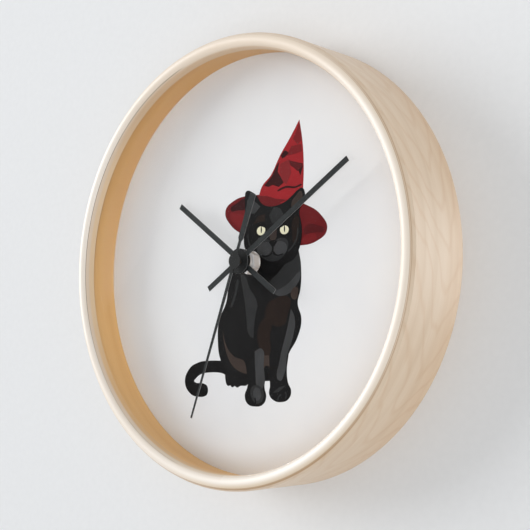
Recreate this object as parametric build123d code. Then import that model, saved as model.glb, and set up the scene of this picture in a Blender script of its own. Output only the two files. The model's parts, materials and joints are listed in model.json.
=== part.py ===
from build123d import *
import os
from math import atan2, cos, degrees, hypot, radians, sin, sqrt

os.makedirs("parts", exist_ok=True)

# A round wall clock with a bent-wood hoop case and a quartz movement.
# +Z is up, the dial faces -Y and the wall lies at the +Y end. The origin is on the
# axis of the hands, halfway through the depth of the case. Everything is in millimetres.

# ---------------------------------------------------------------- driving dimensions
CASE_RADIUS = 125.0          # outside of the hoop
CASE_DEPTH = 45.0            # front of the nose to the wall
OUTER_PLY = 0.8              # thickness of the face veneer round the side
NOSE_RADIUS = 4.2            # section radius of the rounded front edge
SEAM_RADIUS = 117.6          # glue line between the hoop and the lip strip
SPACER_BORE = 118.85
REBATE_RADIUS = 120.35       # wall of the rebate that holds lens, spacer, dial and backboard
FIT_GAP = 0.05               # radial clearance of everything that drops into the rebate
LENS_FRONT = -15.3           # shoulder that the lens seats on
LENS_THICKNESS = 2.0
DIAL_FRONT = 2.74            # front face of the printed dial
DIAL_THICKNESS = 0.5
BACKBOARD_THICKNESS = 2.5
GASKET_THICKNESS = 0.5

HOUR_PLANE = -6.4            # middle of each hand's thickness
MINUTE_PLANE = -8.45
SECOND_PLANE = -11.6
HAND_THICKNESS = 0.4
REST_SECONDS = 10 * 3600 + 9 * 60 + 33.5    # the hands stand at 10:09:33.5

MOVEMENT_SIZE = 56.0         # square body of the movement
MOVEMENT_DEPTH = 15.26
WALL = 1.2                   # moulded walls of the movement
FLOOR = 0.8                  # its front wall
COVER = 1.2                  # its back cover
BAY_TOP = -11.3              # the battery bay lies below this height
CELL_RADIUS = 7.0            # AA cell
CELL_LENGTH = 49.2
CELL_AXIS_Z = -19.5
RUN = 0.05                   # radial clearance of a running fit

# wheel train: (teeth of the first wheel, teeth of the second, module)
ROTOR_MESH = (8, 48, 0.2)
INTERMEDIATE_MESH = (8, 40, 0.25)
SECOND_MESH = (8, 60, 9 / 34)
THIRD_MESH = (8, 64, 0.25)
CANNON_MESH = (12, 36, 0.3125)
MOTION_MESH = (10, 40, 0.3)

# ---------------------------------------------------------------- derived places
FRONT = -CASE_DEPTH / 2
BACK = CASE_DEPTH / 2
NOSE_CENTRE = CASE_RADIUS - NOSE_RADIUS
NOSE_Y = FRONT + NOSE_RADIUS
LIP_RADIUS = NOSE_CENTRE - NOSE_RADIUS
SEAT_RADIUS = REBATE_RADIUS - FIT_GAP
DIAL_BACK = DIAL_FRONT + DIAL_THICKNESS
BOARD_BACK = DIAL_BACK + BACKBOARD_THICKNESS
MOVEMENT_FRONT = BOARD_BACK + GASKET_THICKNESS


def inside(depth):
    """Y of a level inside the movement, measured back from its front face."""
    return MOVEMENT_FRONT + depth


def centre_distance(mesh):
    first, second, module = mesh
    return (first + second) * module / 2


def polar(radius, heading, start=(0, 0)):
    """Point at a heading in degrees, anticlockwise from +X as seen from the front."""
    return (start[0] + radius * cos(radians(heading)), start[1] + radius * sin(radians(heading)))


CENTRE = (0, 0)
THIRD = polar(centre_distance(THIRD_MESH), 20)
INTERMEDIATE = polar(centre_distance(INTERMEDIATE_MESH), 180)
ROTOR = polar(centre_distance(ROTOR_MESH), 180, INTERMEDIATE)
MOTION = polar(centre_distance(CANNON_MESH), 90)
SETTER = polar(centre_distance(CANNON_MESH), 60, MOTION)

# levels inside the movement, front to back
HOUR_WHEEL = (1.1, 1.9)
MOTION_PINION = (1.1, 2.8)
MOTION_WHEEL = (2.8, 3.6)
CANNON_PINION = (2.3, 4.2)
CENTRE_WHEEL = (4.5, 5.1)
MIDDLE_PLATE = (5.4, 6.0)
THIRD_PINION = (4.2, 5.6)
THIRD_WHEEL = (6.0, 6.6)
SECOND_PINION = (5.9, 7.2)
SECOND_WHEEL = (7.6, 8.2)
INTERMEDIATE_PINION = (7.0, 8.8)
INTERMEDIATE_WHEEL = (9.0, 9.5)
ROTOR_PINION = (8.7, 9.9)
MAGNET = (10.2, 12.4)
CORE = (9.7, 10.9)
STATOR = (10.9, 12.1)
BRIDGE = (12.8, 13.5)
BOARD = (8.0, 8.8)
COVER_INSIDE = MOVEMENT_DEPTH - COVER
KNOB_DISC = (12.8, 15.1)
WELL_FLOOR = (11.9, 12.5)

ARBOR_RADIUS = 0.4           # second arbor and the pivots
MINUTE_TUBE_RADIUS = 1.3
HOUR_TUBE_RADIUS = 2.3
BUSH_RADIUS = 4.0
BUSH_FRONT = -3.4
SET_SHAFT_RADIUS = 1.1


# ---------------------------------------------------------------- helpers
def slab(y_front, y_back, sketch):
    """A sketch drawn as seen from the front, made solid from y_front back to y_back."""
    return extrude(Plane.XZ.offset(-y_back) * sketch, amount=y_back - y_front, dir=(0, -1, 0))


def layer(levels, sketch):
    """The same, between two levels inside the movement."""
    return slab(inside(levels[0]), inside(levels[1]), sketch)


def disc(radius, centre=CENTRE, bore=0.0):
    shape = Circle(radius)
    if bore:
        shape -= Circle(bore)
    return Pos(*centre) * shape


def block(x_range, y_range, z_range):
    """A box between two corners."""
    size = [high - low for low, high in (x_range, y_range, z_range)]
    middle = [(high + low) / 2 for low, high in (x_range, y_range, z_range)]
    return Pos(*middle) * Box(*size)


def turned(*edges):
    """A ring whose closed section, drawn as (radius, y), turns about the hands' axis."""
    return revolve(Plane.XY * make_face(Curve() + list(edges)), Axis.Y)


def save(name, shape):
    export_step(shape, f"parts/{name}.step")


def save_group(name, shapes):
    save(name, Compound(children=[solid for shape in shapes for solid in shape.solids()]))


def gear(teeth, module, phase, bore=0.0, centre=CENTRE):
    """Gear outline with slim, straight-sided teeth, so that meshed wheels run with play.
    One tooth points along the phase angle."""
    pitch_radius = teeth * module / 2
    root = pitch_radius - 1.15 * module
    tip = pitch_radius + 0.8 * module
    root_half, tip_half = 0.27, 0.10      # half thickness of a tooth, in tooth pitches
    corners = ((-root_half, root), (-tip_half, tip), (tip_half, tip), (root_half, root))
    points = []
    for tooth in range(teeth):
        for offset, radius in corners:
            points.append(polar(radius, phase + (tooth + offset) * 360 / teeth))
    shape = Polygon(*points, align=None)
    if bore:
        shape -= Circle(bore)
    return Pos(*centre) * shape


def heading(start, end):
    return degrees(atan2(end[1] - start[1], end[0] - start[0]))


def meshed(phase, teeth, other_teeth, direction):
    """Phase of a gear that meshes with a neighbour; direction is the heading from it to the gear."""
    behind = (phase - direction) * teeth / other_teeth
    return direction + 180 - behind + 180 / other_teeth


def clockwise(angle, sketch):
    """Turn a sketch clockwise from 12 o'clock, as seen from the front."""
    return Rot(0, 0, -angle) * sketch


# ---------------------------------------------------------------- case
def nose_y(radius):
    """Y of the rounded front edge at a radius."""
    return NOSE_Y - sqrt(NOSE_RADIUS**2 - (radius - NOSE_CENTRE) ** 2)


def nose_arc(first, last):
    """The stretch of the rounded front edge between two radii."""
    middle = (first + last) / 2
    return ThreePointArc((first, nose_y(first)), (middle, nose_y(middle)), (last, nose_y(last)))


PLY_RADIUS = CASE_RADIUS - OUTER_PLY
PLY_STEP = 0.12              # the face veneer starts with a crisp edge
PLY_LEFT = CASE_RADIUS - PLY_STEP
BACK_CHAMFER = 0.3


def hoop():
    """The laminated hoop, rebated from behind, with slots for the retaining points."""
    ring = turned(
        nose_arc(SEAM_RADIUS, PLY_RADIUS),
        Polyline(
            (PLY_RADIUS, nose_y(PLY_RADIUS)),
            (PLY_RADIUS, BACK),
            (REBATE_RADIUS, BACK),
            (REBATE_RADIUS, LENS_FRONT),
            (SEAM_RADIUS, LENS_FRONT),
            (SEAM_RADIUS, nose_y(SEAM_RADIUS)),
        ),
    )
    for point in retaining_points():
        ring -= point
    return ring


def outer_ply():
    """The face veneer that wraps the side, cut back along the rounded nose."""
    edge_y = nose_y(PLY_LEFT)
    return turned(
        nose_arc(PLY_RADIUS, PLY_LEFT),
        Polyline(
            (PLY_LEFT, edge_y),
            (CASE_RADIUS, edge_y + PLY_STEP),
            (CASE_RADIUS, BACK - BACK_CHAMFER),
            (CASE_RADIUS - BACK_CHAMFER, BACK),
            (PLY_RADIUS, BACK),
            (PLY_RADIUS, nose_y(PLY_RADIUS)),
        ),
    )


def lip_strip():
    """The inner ply at the front, whose back edge is part of the lens seat."""
    middle = (2 * LIP_RADIUS + SEAM_RADIUS) / 3
    return turned(
        ThreePointArc(
            (LIP_RADIUS, NOSE_Y),
            (middle, nose_y(middle)),
            (SEAM_RADIUS, nose_y(SEAM_RADIUS)),
        ),
        Polyline(
            (SEAM_RADIUS, nose_y(SEAM_RADIUS)),
            (SEAM_RADIUS, LENS_FRONT),
            (LIP_RADIUS, LENS_FRONT),
            (LIP_RADIUS, NOSE_Y),
        ),
    )


POINT_WIDTH = 7.0
POINT_THICKNESS = 0.4
POINT_INNER = 112.0
POINT_BITE = 2.2             # how far each point is driven into the hoop


def retaining_points():
    """Flat steel points driven into the hoop behind the backboard, clear of the hanger."""
    tip = REBATE_RADIUS + POINT_BITE
    half = POINT_WIDTH / 2
    outline = Polygon((POINT_INNER, -half), (tip - half, -half), (tip, 0), (tip - half, half),
                      (POINT_INNER, half), align=None)
    thickness = (BOARD_BACK, BOARD_BACK + POINT_THICKNESS)
    return [slab(*thickness, Rot(0, 0, turn) * outline) for turn in range(0, 360, 60)]


# ---------------------------------------------------------------- hanger
HANGER_HALF_WIDTH = 24.0
HANGER_BOTTOM = 97.0
PLATE_THICKNESS = 1.2
PLATE_FRONT = 20.4
KEYHOLE_Z = 103.0            # centre of the entry hole
KEYHOLE_RADIUS = 4.5
KEYHOLE_SLOT_RADIUS = 2.2
KEYHOLE_RISE = 7.5           # entry hole to the top of the slot's centre line
POCKET_RADIUS = 6.0
POCKET_DEPTH = 8.0
HANGER_SCREW_X = 14.0
SCREW_SHANK = 1.5
SCREW_LENGTH = 9.0
SCREW_HEAD = 3.0
SCREW_HEAD_HEIGHT = 0.7
SCREW_SLOT = (5.2, 0.7, 0.4)  # length, width and depth
PLATE_SIZE = (2 * HANGER_SCREW_X + 10, 21, 4)    # width, height and corner radius


def keyhole(wide, narrow):
    """A round hole with a slot rising from it."""
    slot = Pos(0, KEYHOLE_Z + KEYHOLE_RISE / 2) * Rectangle(2 * narrow, KEYHOLE_RISE)
    slot += disc(narrow, (0, KEYHOLE_Z + KEYHOLE_RISE))
    return slot + disc(wide, (0, KEYHOLE_Z))


def screw_places():
    middle = KEYHOLE_Z + KEYHOLE_RISE / 2
    return [(-HANGER_SCREW_X, middle), (HANGER_SCREW_X, middle)]


def hanger_block():
    """Wooden block glued inside the top of the hoop, with a pocket for the nail's head."""
    height = REBATE_RADIUS - HANGER_BOTTOM
    outline = Pos(0, HANGER_BOTTOM + height / 2) * Rectangle(2 * HANGER_HALF_WIDTH, height)
    outline &= Circle(REBATE_RADIUS)
    body = slab(BOARD_BACK, PLATE_FRONT, outline)
    body -= slab(PLATE_FRONT - POCKET_DEPTH, PLATE_FRONT, keyhole(POCKET_RADIUS, POCKET_RADIUS))
    for place in screw_places():
        body -= slab(PLATE_FRONT - SCREW_LENGTH, PLATE_FRONT, disc(SCREW_SHANK, place))
    return body


def hanger_plate():
    """Steel keyhole plate."""
    middle = KEYHOLE_Z + KEYHOLE_RISE / 2
    outline = Pos(0, middle) * RectangleRounded(*PLATE_SIZE)
    outline -= keyhole(KEYHOLE_RADIUS, KEYHOLE_SLOT_RADIUS)
    for place in screw_places():
        outline -= disc(SCREW_SHANK, place)
    return slab(PLATE_FRONT, PLATE_FRONT + PLATE_THICKNESS, outline)


def hanger_screws():
    """Two flat-headed wood screws with a slot."""
    screws = []
    head_front = PLATE_FRONT + PLATE_THICKNESS
    head_back = head_front + SCREW_HEAD_HEIGHT
    slot_length, slot_width, slot_depth = SCREW_SLOT
    for place in screw_places():
        slot = Pos(*place) * Rectangle(slot_length, slot_width)
        screw = slab(PLATE_FRONT - SCREW_LENGTH, head_front, disc(SCREW_SHANK, place))
        screw += slab(head_front, head_back, disc(SCREW_HEAD, place))
        screw -= slab(head_back - slot_depth, head_back, slot)
        screws.append(screw)
    return screws


# ---------------------------------------------------------------- centre fixing
NUT_FLATS = 12.0
NUT_THICKNESS = 4.6
NUT_CHAMFER = 0.9            # how far the chamfer reaches down at the nut's corners
NUT_FACE_RADIUS = 5.9        # round front face inside the chamfer
WASHER_THICKNESS = 0.5
WASHER_RADIUS = 6.4
GASKET_RADIUS = 9.0
BUSH_FLANGE = 5.5
FLANGE_THICKNESS = 0.5
THREAD_PITCH = 0.75
THREAD_DEPTH = 0.3
HOUR_TUBE_BORE = MINUTE_TUBE_RADIUS + RUN
BUSH_BORE = HOUR_TUBE_RADIUS + RUN


def centre_bush():
    """Plated bush through dial and backboard; its thread shows in front of the nut."""
    nut_front = DIAL_FRONT - WASHER_THICKNESS - NUT_THICKNESS
    bush = slab(BUSH_FRONT, inside(FLOOR), disc(BUSH_RADIUS, bore=BUSH_BORE))
    bush += slab(inside(FLOOR - FLANGE_THICKNESS), inside(FLOOR), disc(BUSH_FLANGE, bore=BUSH_BORE))
    groove_y = nut_front - THREAD_PITCH / 2
    groove = Polygon(
        (BUSH_RADIUS - THREAD_DEPTH, groove_y),
        (BUSH_RADIUS + THREAD_DEPTH, groove_y - THREAD_PITCH / 2),
        (BUSH_RADIUS + THREAD_DEPTH, groove_y + THREAD_PITCH / 2),
        align=None,
    )
    return bush - revolve(Plane.XY * groove, Axis.Y)


def hex_nut():
    """Nut with one corner down, chamfered on its front corners."""
    back = DIAL_FRONT - WASHER_THICKNESS
    front = back - NUT_THICKNESS
    corner = NUT_FLATS / 2 / cos(radians(30))
    outline = Rot(0, 0, 90) * RegularPolygon(corner, 6) - Circle(BUSH_RADIUS)
    nut = slab(front, back, outline)
    chamfer = turned(
        Polyline(
            (NUT_FACE_RADIUS, front),
            (NUT_FACE_RADIUS, front - NUT_CHAMFER),
            (corner + 1, front - NUT_CHAMFER),
            (corner + 1, front + NUT_CHAMFER),
            (NUT_FACE_RADIUS, front),
        )
    )
    return nut - chamfer


# ---------------------------------------------------------------- hands
HOUR_HAND = {"tip": 60.3, "tail": 30.7, "width": 3.2, "hub": 7.0}
MINUTE_HAND = {"tip": 90.5, "tail": 27.4, "width": 3.2, "hub": 7.1}
SECOND_TIP = 93.5
SECOND_HUB = 4.4
WEIGHT_START = 11.3          # counterweight of the second hand, measured from the axis
WEIGHT_SHOULDER = 12.9       # where it reaches its full width
WEIGHT_END = 38.4
WEIGHT_WIDTH = 4.4           # at its square outer end
WEIGHT_ROOT = 3.7            # at the shoulders
NECK_WIDTH = 2.0
NEEDLE_ROOT = 2.3
NEEDLE_TIP = 1.2
COLLAR_LENGTH = 0.7          # collar behind a hand that grips its tube
COLLAR_WALL = 1.0
COLLET_LENGTH = 1.9

SECOND_ANGLE = (REST_SECONDS % 60) * 6
MINUTE_LEAD = 0.5             # degrees that a pressed-on hand stands ahead of its tube
HOUR_LEAD = 1.4
MINUTE_ANGLE = (REST_SECONDS % 3600) / 10 + MINUTE_LEAD
HOUR_ANGLE = REST_SECONDS / 120 + HOUR_LEAD


def plate(plane_y, sketch):
    """A stamped hand of even thickness."""
    return slab(plane_y - HAND_THICKNESS / 2, plane_y + HAND_THICKNESS / 2, sketch)


def baton(hand, bore, angle, plane_y):
    """A straight hand with square ends, a tail and a round boss pressed on its tube."""
    length = hand["tip"] + hand["tail"]
    outline = Pos(0, (hand["tip"] - hand["tail"]) / 2) * Rectangle(hand["width"], length)
    outline += Circle(hand["hub"])
    outline -= Circle(bore)
    blade = plate(plane_y, clockwise(angle, outline))
    back = plane_y + HAND_THICKNESS / 2
    return blade + slab(back, back + COLLAR_LENGTH, disc(bore + COLLAR_WALL, bore=bore))


def second_hand():
    """Needle with a wide counterweight on a thin neck. Its boss is closed in front."""
    half_root, half_tip = NEEDLE_ROOT / 2, NEEDLE_TIP / 2
    needle = Polygon((-half_root, 0), (half_root, 0), (half_tip, SECOND_TIP), (-half_tip, SECOND_TIP),
                     align=None)
    neck = Pos(0, -WEIGHT_START / 2) * Rectangle(NECK_WIDTH, WEIGHT_START)
    half_neck, half_shoulder, half_end = NECK_WIDTH / 2, WEIGHT_ROOT / 2, WEIGHT_WIDTH / 2
    weight = Polygon((-half_neck, -WEIGHT_START), (-half_shoulder, -WEIGHT_SHOULDER),
                     (-half_end, -WEIGHT_END), (half_end, -WEIGHT_END),
                     (half_shoulder, -WEIGHT_SHOULDER), (half_neck, -WEIGHT_START), align=None)
    outline = needle + neck + weight + Circle(SECOND_HUB)
    return plate(SECOND_PLANE, clockwise(SECOND_ANGLE, outline))


def second_collet():
    """Brass tube that carries the second hand on its arbor."""
    back = SECOND_PLANE + HAND_THICKNESS / 2
    return slab(back, back + COLLET_LENGTH, disc(ARBOR_RADIUS + 0.6, bore=ARBOR_RADIUS))


# ---------------------------------------------------------------- wheel train
second_wheel_phase = meshed(0, INTERMEDIATE_MESH[0], INTERMEDIATE_MESH[1], heading(INTERMEDIATE, CENTRE))
third_wheel_phase = meshed(0, SECOND_MESH[0], SECOND_MESH[1], heading(CENTRE, THIRD))
centre_wheel_phase = meshed(0, THIRD_MESH[0], THIRD_MESH[1], heading(THIRD, CENTRE))
intermediate_wheel_phase = meshed(0, ROTOR_MESH[0], ROTOR_MESH[1], heading(ROTOR, INTERMEDIATE))
motion_wheel_phase = meshed(0, CANNON_MESH[0], CANNON_MESH[1], heading(CENTRE, MOTION))
hour_wheel_phase = meshed(0, MOTION_MESH[0], MOTION_MESH[1], heading(MOTION, CENTRE))
set_pinion_phase = meshed(motion_wheel_phase, CANNON_MESH[1], CANNON_MESH[0], heading(MOTION, SETTER))


def second_arbor():
    """Arbor and pinion of the second wheel, carrying the second hand at its front end."""
    front = SECOND_PLANE + HAND_THICKNESS / 2
    arbor = slab(front, inside(BRIDGE[0] + 0.5), disc(ARBOR_RADIUS))
    pinion = layer(SECOND_PINION, gear(SECOND_MESH[0], SECOND_MESH[2], 0))
    return arbor + pinion


def second_wheel():
    teeth, module = INTERMEDIATE_MESH[1:]
    wheel = layer(SECOND_WHEEL, gear(teeth, module, second_wheel_phase, ARBOR_RADIUS))
    hub = (SECOND_PINION[1], SECOND_WHEEL[0])
    return wheel + layer(hub, disc(1.1, bore=ARBOR_RADIUS))


def minute_tube():
    """Tube that carries the minute hand, with the cannon pinion."""
    bore = ARBOR_RADIUS + RUN
    front = MINUTE_PLANE - HAND_THICKNESS / 2
    tube = slab(front, inside(CENTRE_WHEEL[1] + 0.5), disc(MINUTE_TUBE_RADIUS, bore=bore))
    tube += layer(CANNON_PINION, gear(CANNON_MESH[0], CANNON_MESH[2], 0, bore))
    return tube


def centre_wheel():
    teeth, module = THIRD_MESH[1:]
    return layer(CENTRE_WHEEL, gear(teeth, module, centre_wheel_phase, MINUTE_TUBE_RADIUS))


def hour_wheel():
    """Hour wheel with the tube that carries the hour hand."""
    teeth, module = MOTION_MESH[1:]
    wheel = layer(HOUR_WHEEL, gear(teeth, module, hour_wheel_phase, HOUR_TUBE_BORE))
    front = HOUR_PLANE - HAND_THICKNESS / 2
    return wheel + slab(front, inside(HOUR_WHEEL[0]), disc(HOUR_TUBE_RADIUS, bore=HOUR_TUBE_BORE))


MOTION_POST = 0.65


def motion_wheel():
    """Wheel and pinion in one, turning on a post of the front case."""
    bore = MOTION_POST + RUN
    wheel = layer(MOTION_WHEEL, gear(CANNON_MESH[1], CANNON_MESH[2], motion_wheel_phase, bore, MOTION))
    return wheel + layer(MOTION_PINION, gear(MOTION_MESH[0], MOTION_MESH[2], 0, bore, MOTION))


def third_arbor():
    arbor = layer((FLOOR + 0.2, BRIDGE[0] + 0.5), disc(ARBOR_RADIUS, THIRD))
    return arbor + layer(THIRD_PINION, gear(THIRD_MESH[0], THIRD_MESH[2], 0, centre=THIRD))


def third_wheel():
    teeth, module = SECOND_MESH[1:]
    wheel = layer(THIRD_WHEEL, gear(teeth, module, third_wheel_phase, ARBOR_RADIUS, THIRD))
    return wheel + layer((THIRD_WHEEL[1], THIRD_WHEEL[1] + 0.8), disc(1.2, THIRD, ARBOR_RADIUS))


def intermediate_wheel():
    """Wheel, pinion and arbor in one moulding."""
    arbor = layer((MIDDLE_PLATE[0] + 0.1, BRIDGE[0] + 0.5), disc(ARBOR_RADIUS, INTERMEDIATE))
    pinion = gear(INTERMEDIATE_MESH[0], INTERMEDIATE_MESH[2], 0, centre=INTERMEDIATE)
    wheel = gear(ROTOR_MESH[1], ROTOR_MESH[2], intermediate_wheel_phase, centre=INTERMEDIATE)
    wheel_and_hub = (INTERMEDIATE_PINION[1], INTERMEDIATE_WHEEL[0])
    shape = arbor + layer(INTERMEDIATE_PINION, pinion)
    shape += layer(INTERMEDIATE_WHEEL, wheel)
    return shape + layer(wheel_and_hub, disc(1.0, INTERMEDIATE))


def rotor_pinion():
    arbor = layer((MIDDLE_PLATE[0] + 0.1, BRIDGE[0] + 0.5), disc(ARBOR_RADIUS, ROTOR))
    return arbor + layer(ROTOR_PINION, gear(ROTOR_MESH[0], ROTOR_MESH[2], 0, centre=ROTOR))


MAGNET_RADIUS = 3.0


def rotor_magnet():
    return layer(MAGNET, disc(MAGNET_RADIUS, ROTOR, ARBOR_RADIUS))


KNOB_RADIUS = 6.4
KNOB_NOTCHES = 24
KNOB_BAR = (9.0, 2.0, 0.9)   # length, width and corner radius
KNOB_BAR_HEIGHT = 0.9


def set_knob():
    """Setting wheel with a notched edge and a raised bar to turn it by."""
    outline = disc(KNOB_RADIUS)
    for notch in range(KNOB_NOTCHES):
        outline -= disc(0.45, polar(KNOB_RADIUS, notch * 360 / KNOB_NOTCHES))
    bar_foot = KNOB_DISC[1] - KNOB_BAR_HEIGHT
    knob = layer((KNOB_DISC[0], bar_foot), Pos(*SETTER) * outline)
    return knob + layer((bar_foot, KNOB_DISC[1]), Pos(*SETTER) * RectangleRounded(*KNOB_BAR))


def set_pinion():
    """Shaft of the setting wheel, with the pinion that turns the motion wheel."""
    shaft = layer((FLOOR + 0.2, KNOB_DISC[0]), disc(SET_SHAFT_RADIUS, SETTER))
    pinion = gear(CANNON_MESH[0], CANNON_MESH[2], set_pinion_phase, centre=SETTER)
    return shaft + layer((MOTION_WHEEL[0] - 0.6, MOTION_WHEEL[1] + 0.6), pinion)


# ---------------------------------------------------------------- movement body
HALF = MOVEMENT_SIZE / 2
INNER = HALF - WALL
CORNER = 3.0
MIDDLE_POSTS = [(-13.5, -5.5), (-13.5, 5.5)]
BRIDGE_POSTS = [(-3.5, -10.0), (13.0, -8.5), (-5.8, 12.0)]
POST_RADIUS = 1.0
PIN_RADIUS = 0.6
STRIP = 0.4                  # thickness of the contact strips
WELL_RADIUS = 7.0            # round recess that the setting wheel sits in


def movement_case():
    """Front shell with its battery bay, posts and pivot holes, open at the back."""
    outline = RectangleRounded(MOVEMENT_SIZE, MOVEMENT_SIZE, CORNER)
    hollow = RectangleRounded(2 * INNER, 2 * INNER, CORNER - WALL)
    case = layer((0, FLOOR), outline)
    case += layer((FLOOR, COVER_INSIDE), outline - hollow)
    partition = Pos(0, BAY_TOP - FLOOR / 2) * Rectangle(2 * INNER, FLOOR)
    case += layer((FLOOR, COVER_INSIDE), partition)
    for side in (-1, 1):
        gap = Pos(side * (INNER - STRIP), BAY_TOP - FLOOR / 2) * Rectangle(2 * STRIP, FLOOR)
        case -= layer((2.5, COVER_INSIDE), gap)
    case -= layer((0, FLOOR), disc(BUSH_RADIUS))
    case -= layer((FLOOR - FLANGE_THICKNESS, FLOOR), disc(BUSH_FLANGE))
    pivot = ARBOR_RADIUS + RUN
    case += layer((FLOOR, FLOOR + 1.2), disc(1.3, THIRD, pivot))
    case += layer((FLOOR, FLOOR + 1.1), disc(2.0, SETTER, SET_SHAFT_RADIUS + RUN))
    case += layer((FLOOR, MOTION_WHEEL[1] + 0.3), disc(MOTION_POST, MOTION))
    for place in MIDDLE_POSTS:
        case += layer((FLOOR, MIDDLE_PLATE[0]), disc(POST_RADIUS, place))
        case += layer(MIDDLE_PLATE, disc(PIN_RADIUS, place))
    for place in BRIDGE_POSTS:
        case += layer((FLOOR, BRIDGE[0]), disc(POST_RADIUS, place))
        case += layer(BRIDGE, disc(PIN_RADIUS, place))
    for place in BOARD_POSTS:
        case += layer((FLOOR, BOARD[0]), disc(POST_RADIUS, place))
    for place in stator_screw_places():
        case += layer((FLOOR, CORE[0]), disc(1.6, place, STATOR_SCREW))
    return case


def movement_back_cover():
    """Cover over the train, with a well for the setting wheel; the battery bay stays open."""
    height = HALF - BAY_TOP + FLOOR
    outline = Pos(0, HALF - height / 2) * RectangleRounded(MOVEMENT_SIZE, height, CORNER - 1)
    well_outside = WELL_RADIUS + FLOOR
    cover = layer((COVER_INSIDE, MOVEMENT_DEPTH), outline - disc(WELL_RADIUS, SETTER))
    cover += layer((WELL_FLOOR[0], COVER_INSIDE), disc(well_outside, SETTER, WELL_RADIUS))
    cover += layer(WELL_FLOOR, disc(well_outside, SETTER, SET_SHAFT_RADIUS + RUN))
    for side in (-1, 1):
        rib = Pos(side * (INNER - 0.55), 8) * Rectangle(0.9, 8)
        cover += layer((COVER_INSIDE - 2.5, COVER_INSIDE), rib)
    return cover


def middle_plate():
    """Small plate in front of the rotor, with the front pivots of rotor and intermediate wheel."""
    outline = Pos(-9.6, 0) * RectangleRounded(10.6, 14.5, 1.5)
    for place in MIDDLE_POSTS:
        outline -= disc(PIN_RADIUS, place)
    for place in (INTERMEDIATE, ROTOR):
        outline -= disc(ARBOR_RADIUS + RUN, place)
    return layer(MIDDLE_PLATE, outline)


def gear_bridge():
    """Bridge that carries the back pivots of the train."""
    corners = [(-14.3, -2.0), (-14.3, 2.6), (-7.4, 14.0), (-4.2, 14.0), (11.2, 5.0), (15.0, -7.0),
               (14.0, -10.6), (-5.0, -11.0)]
    outline = Polygon(*corners, align=None)
    outline -= disc(WELL_RADIUS + FLOOR + 0.3, SETTER)
    for place in BRIDGE_POSTS:
        outline -= disc(PIN_RADIUS, place)
    for place in (CENTRE, THIRD, INTERMEDIATE, ROTOR):
        outline -= disc(ARBOR_RADIUS + RUN, place)
    return layer(BRIDGE, outline)


# ---------------------------------------------------------------- motor and electronics
COIL_X = -21.5
COIL_ENDS = (-10.8, 20.0)
CORE_WIDTH = 4.0
STATOR_HALF = 4.4
STATOR_SCREW = 0.7           # shank radius of the screws through core and stator
GAP_RADIUS = 3.5             # hole in the stator that the rotor magnet turns in
BOARD_X = (9.0, 26.0)
BOARD_Z = (13.0, 26.0)
BOARD_POSTS = [(12.0, 24.4), (24.4, 15.4)]


def stator_screw_places():
    return [(COIL_X, COIL_ENDS[0] + 2.0), (COIL_X, COIL_ENDS[1] - 2.0)]


def stator():
    """Soft-iron plate that closes the coil's circuit round the rotor."""
    low, high = COIL_ENDS
    right = ROTOR[0] + STATOR_HALF
    left = ROTOR[0] - STATOR_HALF
    outline = Pos((left + right) / 2, (low + high) / 2) * Rectangle(right - left, high - low)
    arm_left = COIL_X - CORE_WIDTH / 2
    for middle in (low + 2.0, high - 2.0):
        outline += Pos((arm_left + right) / 2, middle) * Rectangle(right - arm_left, 4.0)
    outline -= disc(GAP_RADIUS, ROTOR)
    for place in stator_screw_places():
        outline -= disc(STATOR_SCREW, place)
    return layer(STATOR, outline)


def coil_core():
    low, high = COIL_ENDS
    outline = Pos(COIL_X, (low + high) / 2) * Rectangle(CORE_WIDTH, high - low)
    for place in stator_screw_places():
        outline -= disc(STATOR_SCREW, place)
    return layer(CORE, outline)


BOBBIN_Z = (-6.0, 15.2)
BOBBIN_FLANGE = 0.7
BOBBIN_TUBE = (CORE_WIDTH + 1.0, 2.2)    # width and depth of each section
BOBBIN_CHEEK = (7.0, 6.6)
WINDING = (6.6, 6.0)
WINDING_ROUND = 2.0


def coil_section(width, height, z_range):
    """A block round the coil's core, open where the core passes through."""
    middle_y = inside((CORE[0] + CORE[1]) / 2)
    return block((COIL_X - width / 2, COIL_X + width / 2),
                 (middle_y - height / 2, middle_y + height / 2), z_range)


def coil_bobbin():
    low, high = BOBBIN_Z
    body = coil_section(*BOBBIN_TUBE, BOBBIN_Z)
    body += coil_section(*BOBBIN_CHEEK, (low, low + BOBBIN_FLANGE))
    body += coil_section(*BOBBIN_CHEEK, (high - BOBBIN_FLANGE, high))
    return body - coil_section(CORE_WIDTH, CORE[1] - CORE[0], BOBBIN_Z)


def coil_winding():
    low, high = BOBBIN_Z
    span = (low + BOBBIN_FLANGE, high - BOBBIN_FLANGE)
    body = coil_section(*WINDING, span)
    body = fillet(body.edges().filter_by(Axis.Z), WINDING_ROUND)
    return body - coil_section(*BOBBIN_TUBE, span)


def stator_screws():
    """Two small slotted screws that clamp stator and core to the case."""
    screws = []
    head_back = STATOR[1] + 0.8
    for place in stator_screw_places():
        screw = layer((CORE[0] - 2.0, STATOR[1]), disc(STATOR_SCREW, place))
        screw += layer((STATOR[1], head_back), disc(2 * STATOR_SCREW, place))
        screw -= layer((head_back - 0.4, head_back), Pos(*place) * Rectangle(2.4, 0.35))
        screws.append(screw)
    return screws


def circuit_board():
    middle = ((BOARD_X[0] + BOARD_X[1]) / 2, (BOARD_Z[0] + BOARD_Z[1]) / 2)
    size = (BOARD_X[1] - BOARD_X[0], BOARD_Z[1] - BOARD_Z[0])
    return layer(BOARD, Pos(*middle) * RectangleRounded(*size, 1.0))


CRYSTAL_RADIUS = 1.0
CRYSTAL_LENGTH = 6.0
CRYSTAL_PLACE = (13.5, 22.5)
BLOB_PLACE = (19.5, 19.0)
BLOB_HEIGHT = 1.1
BLOB_SPREAD = 2.6


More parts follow.
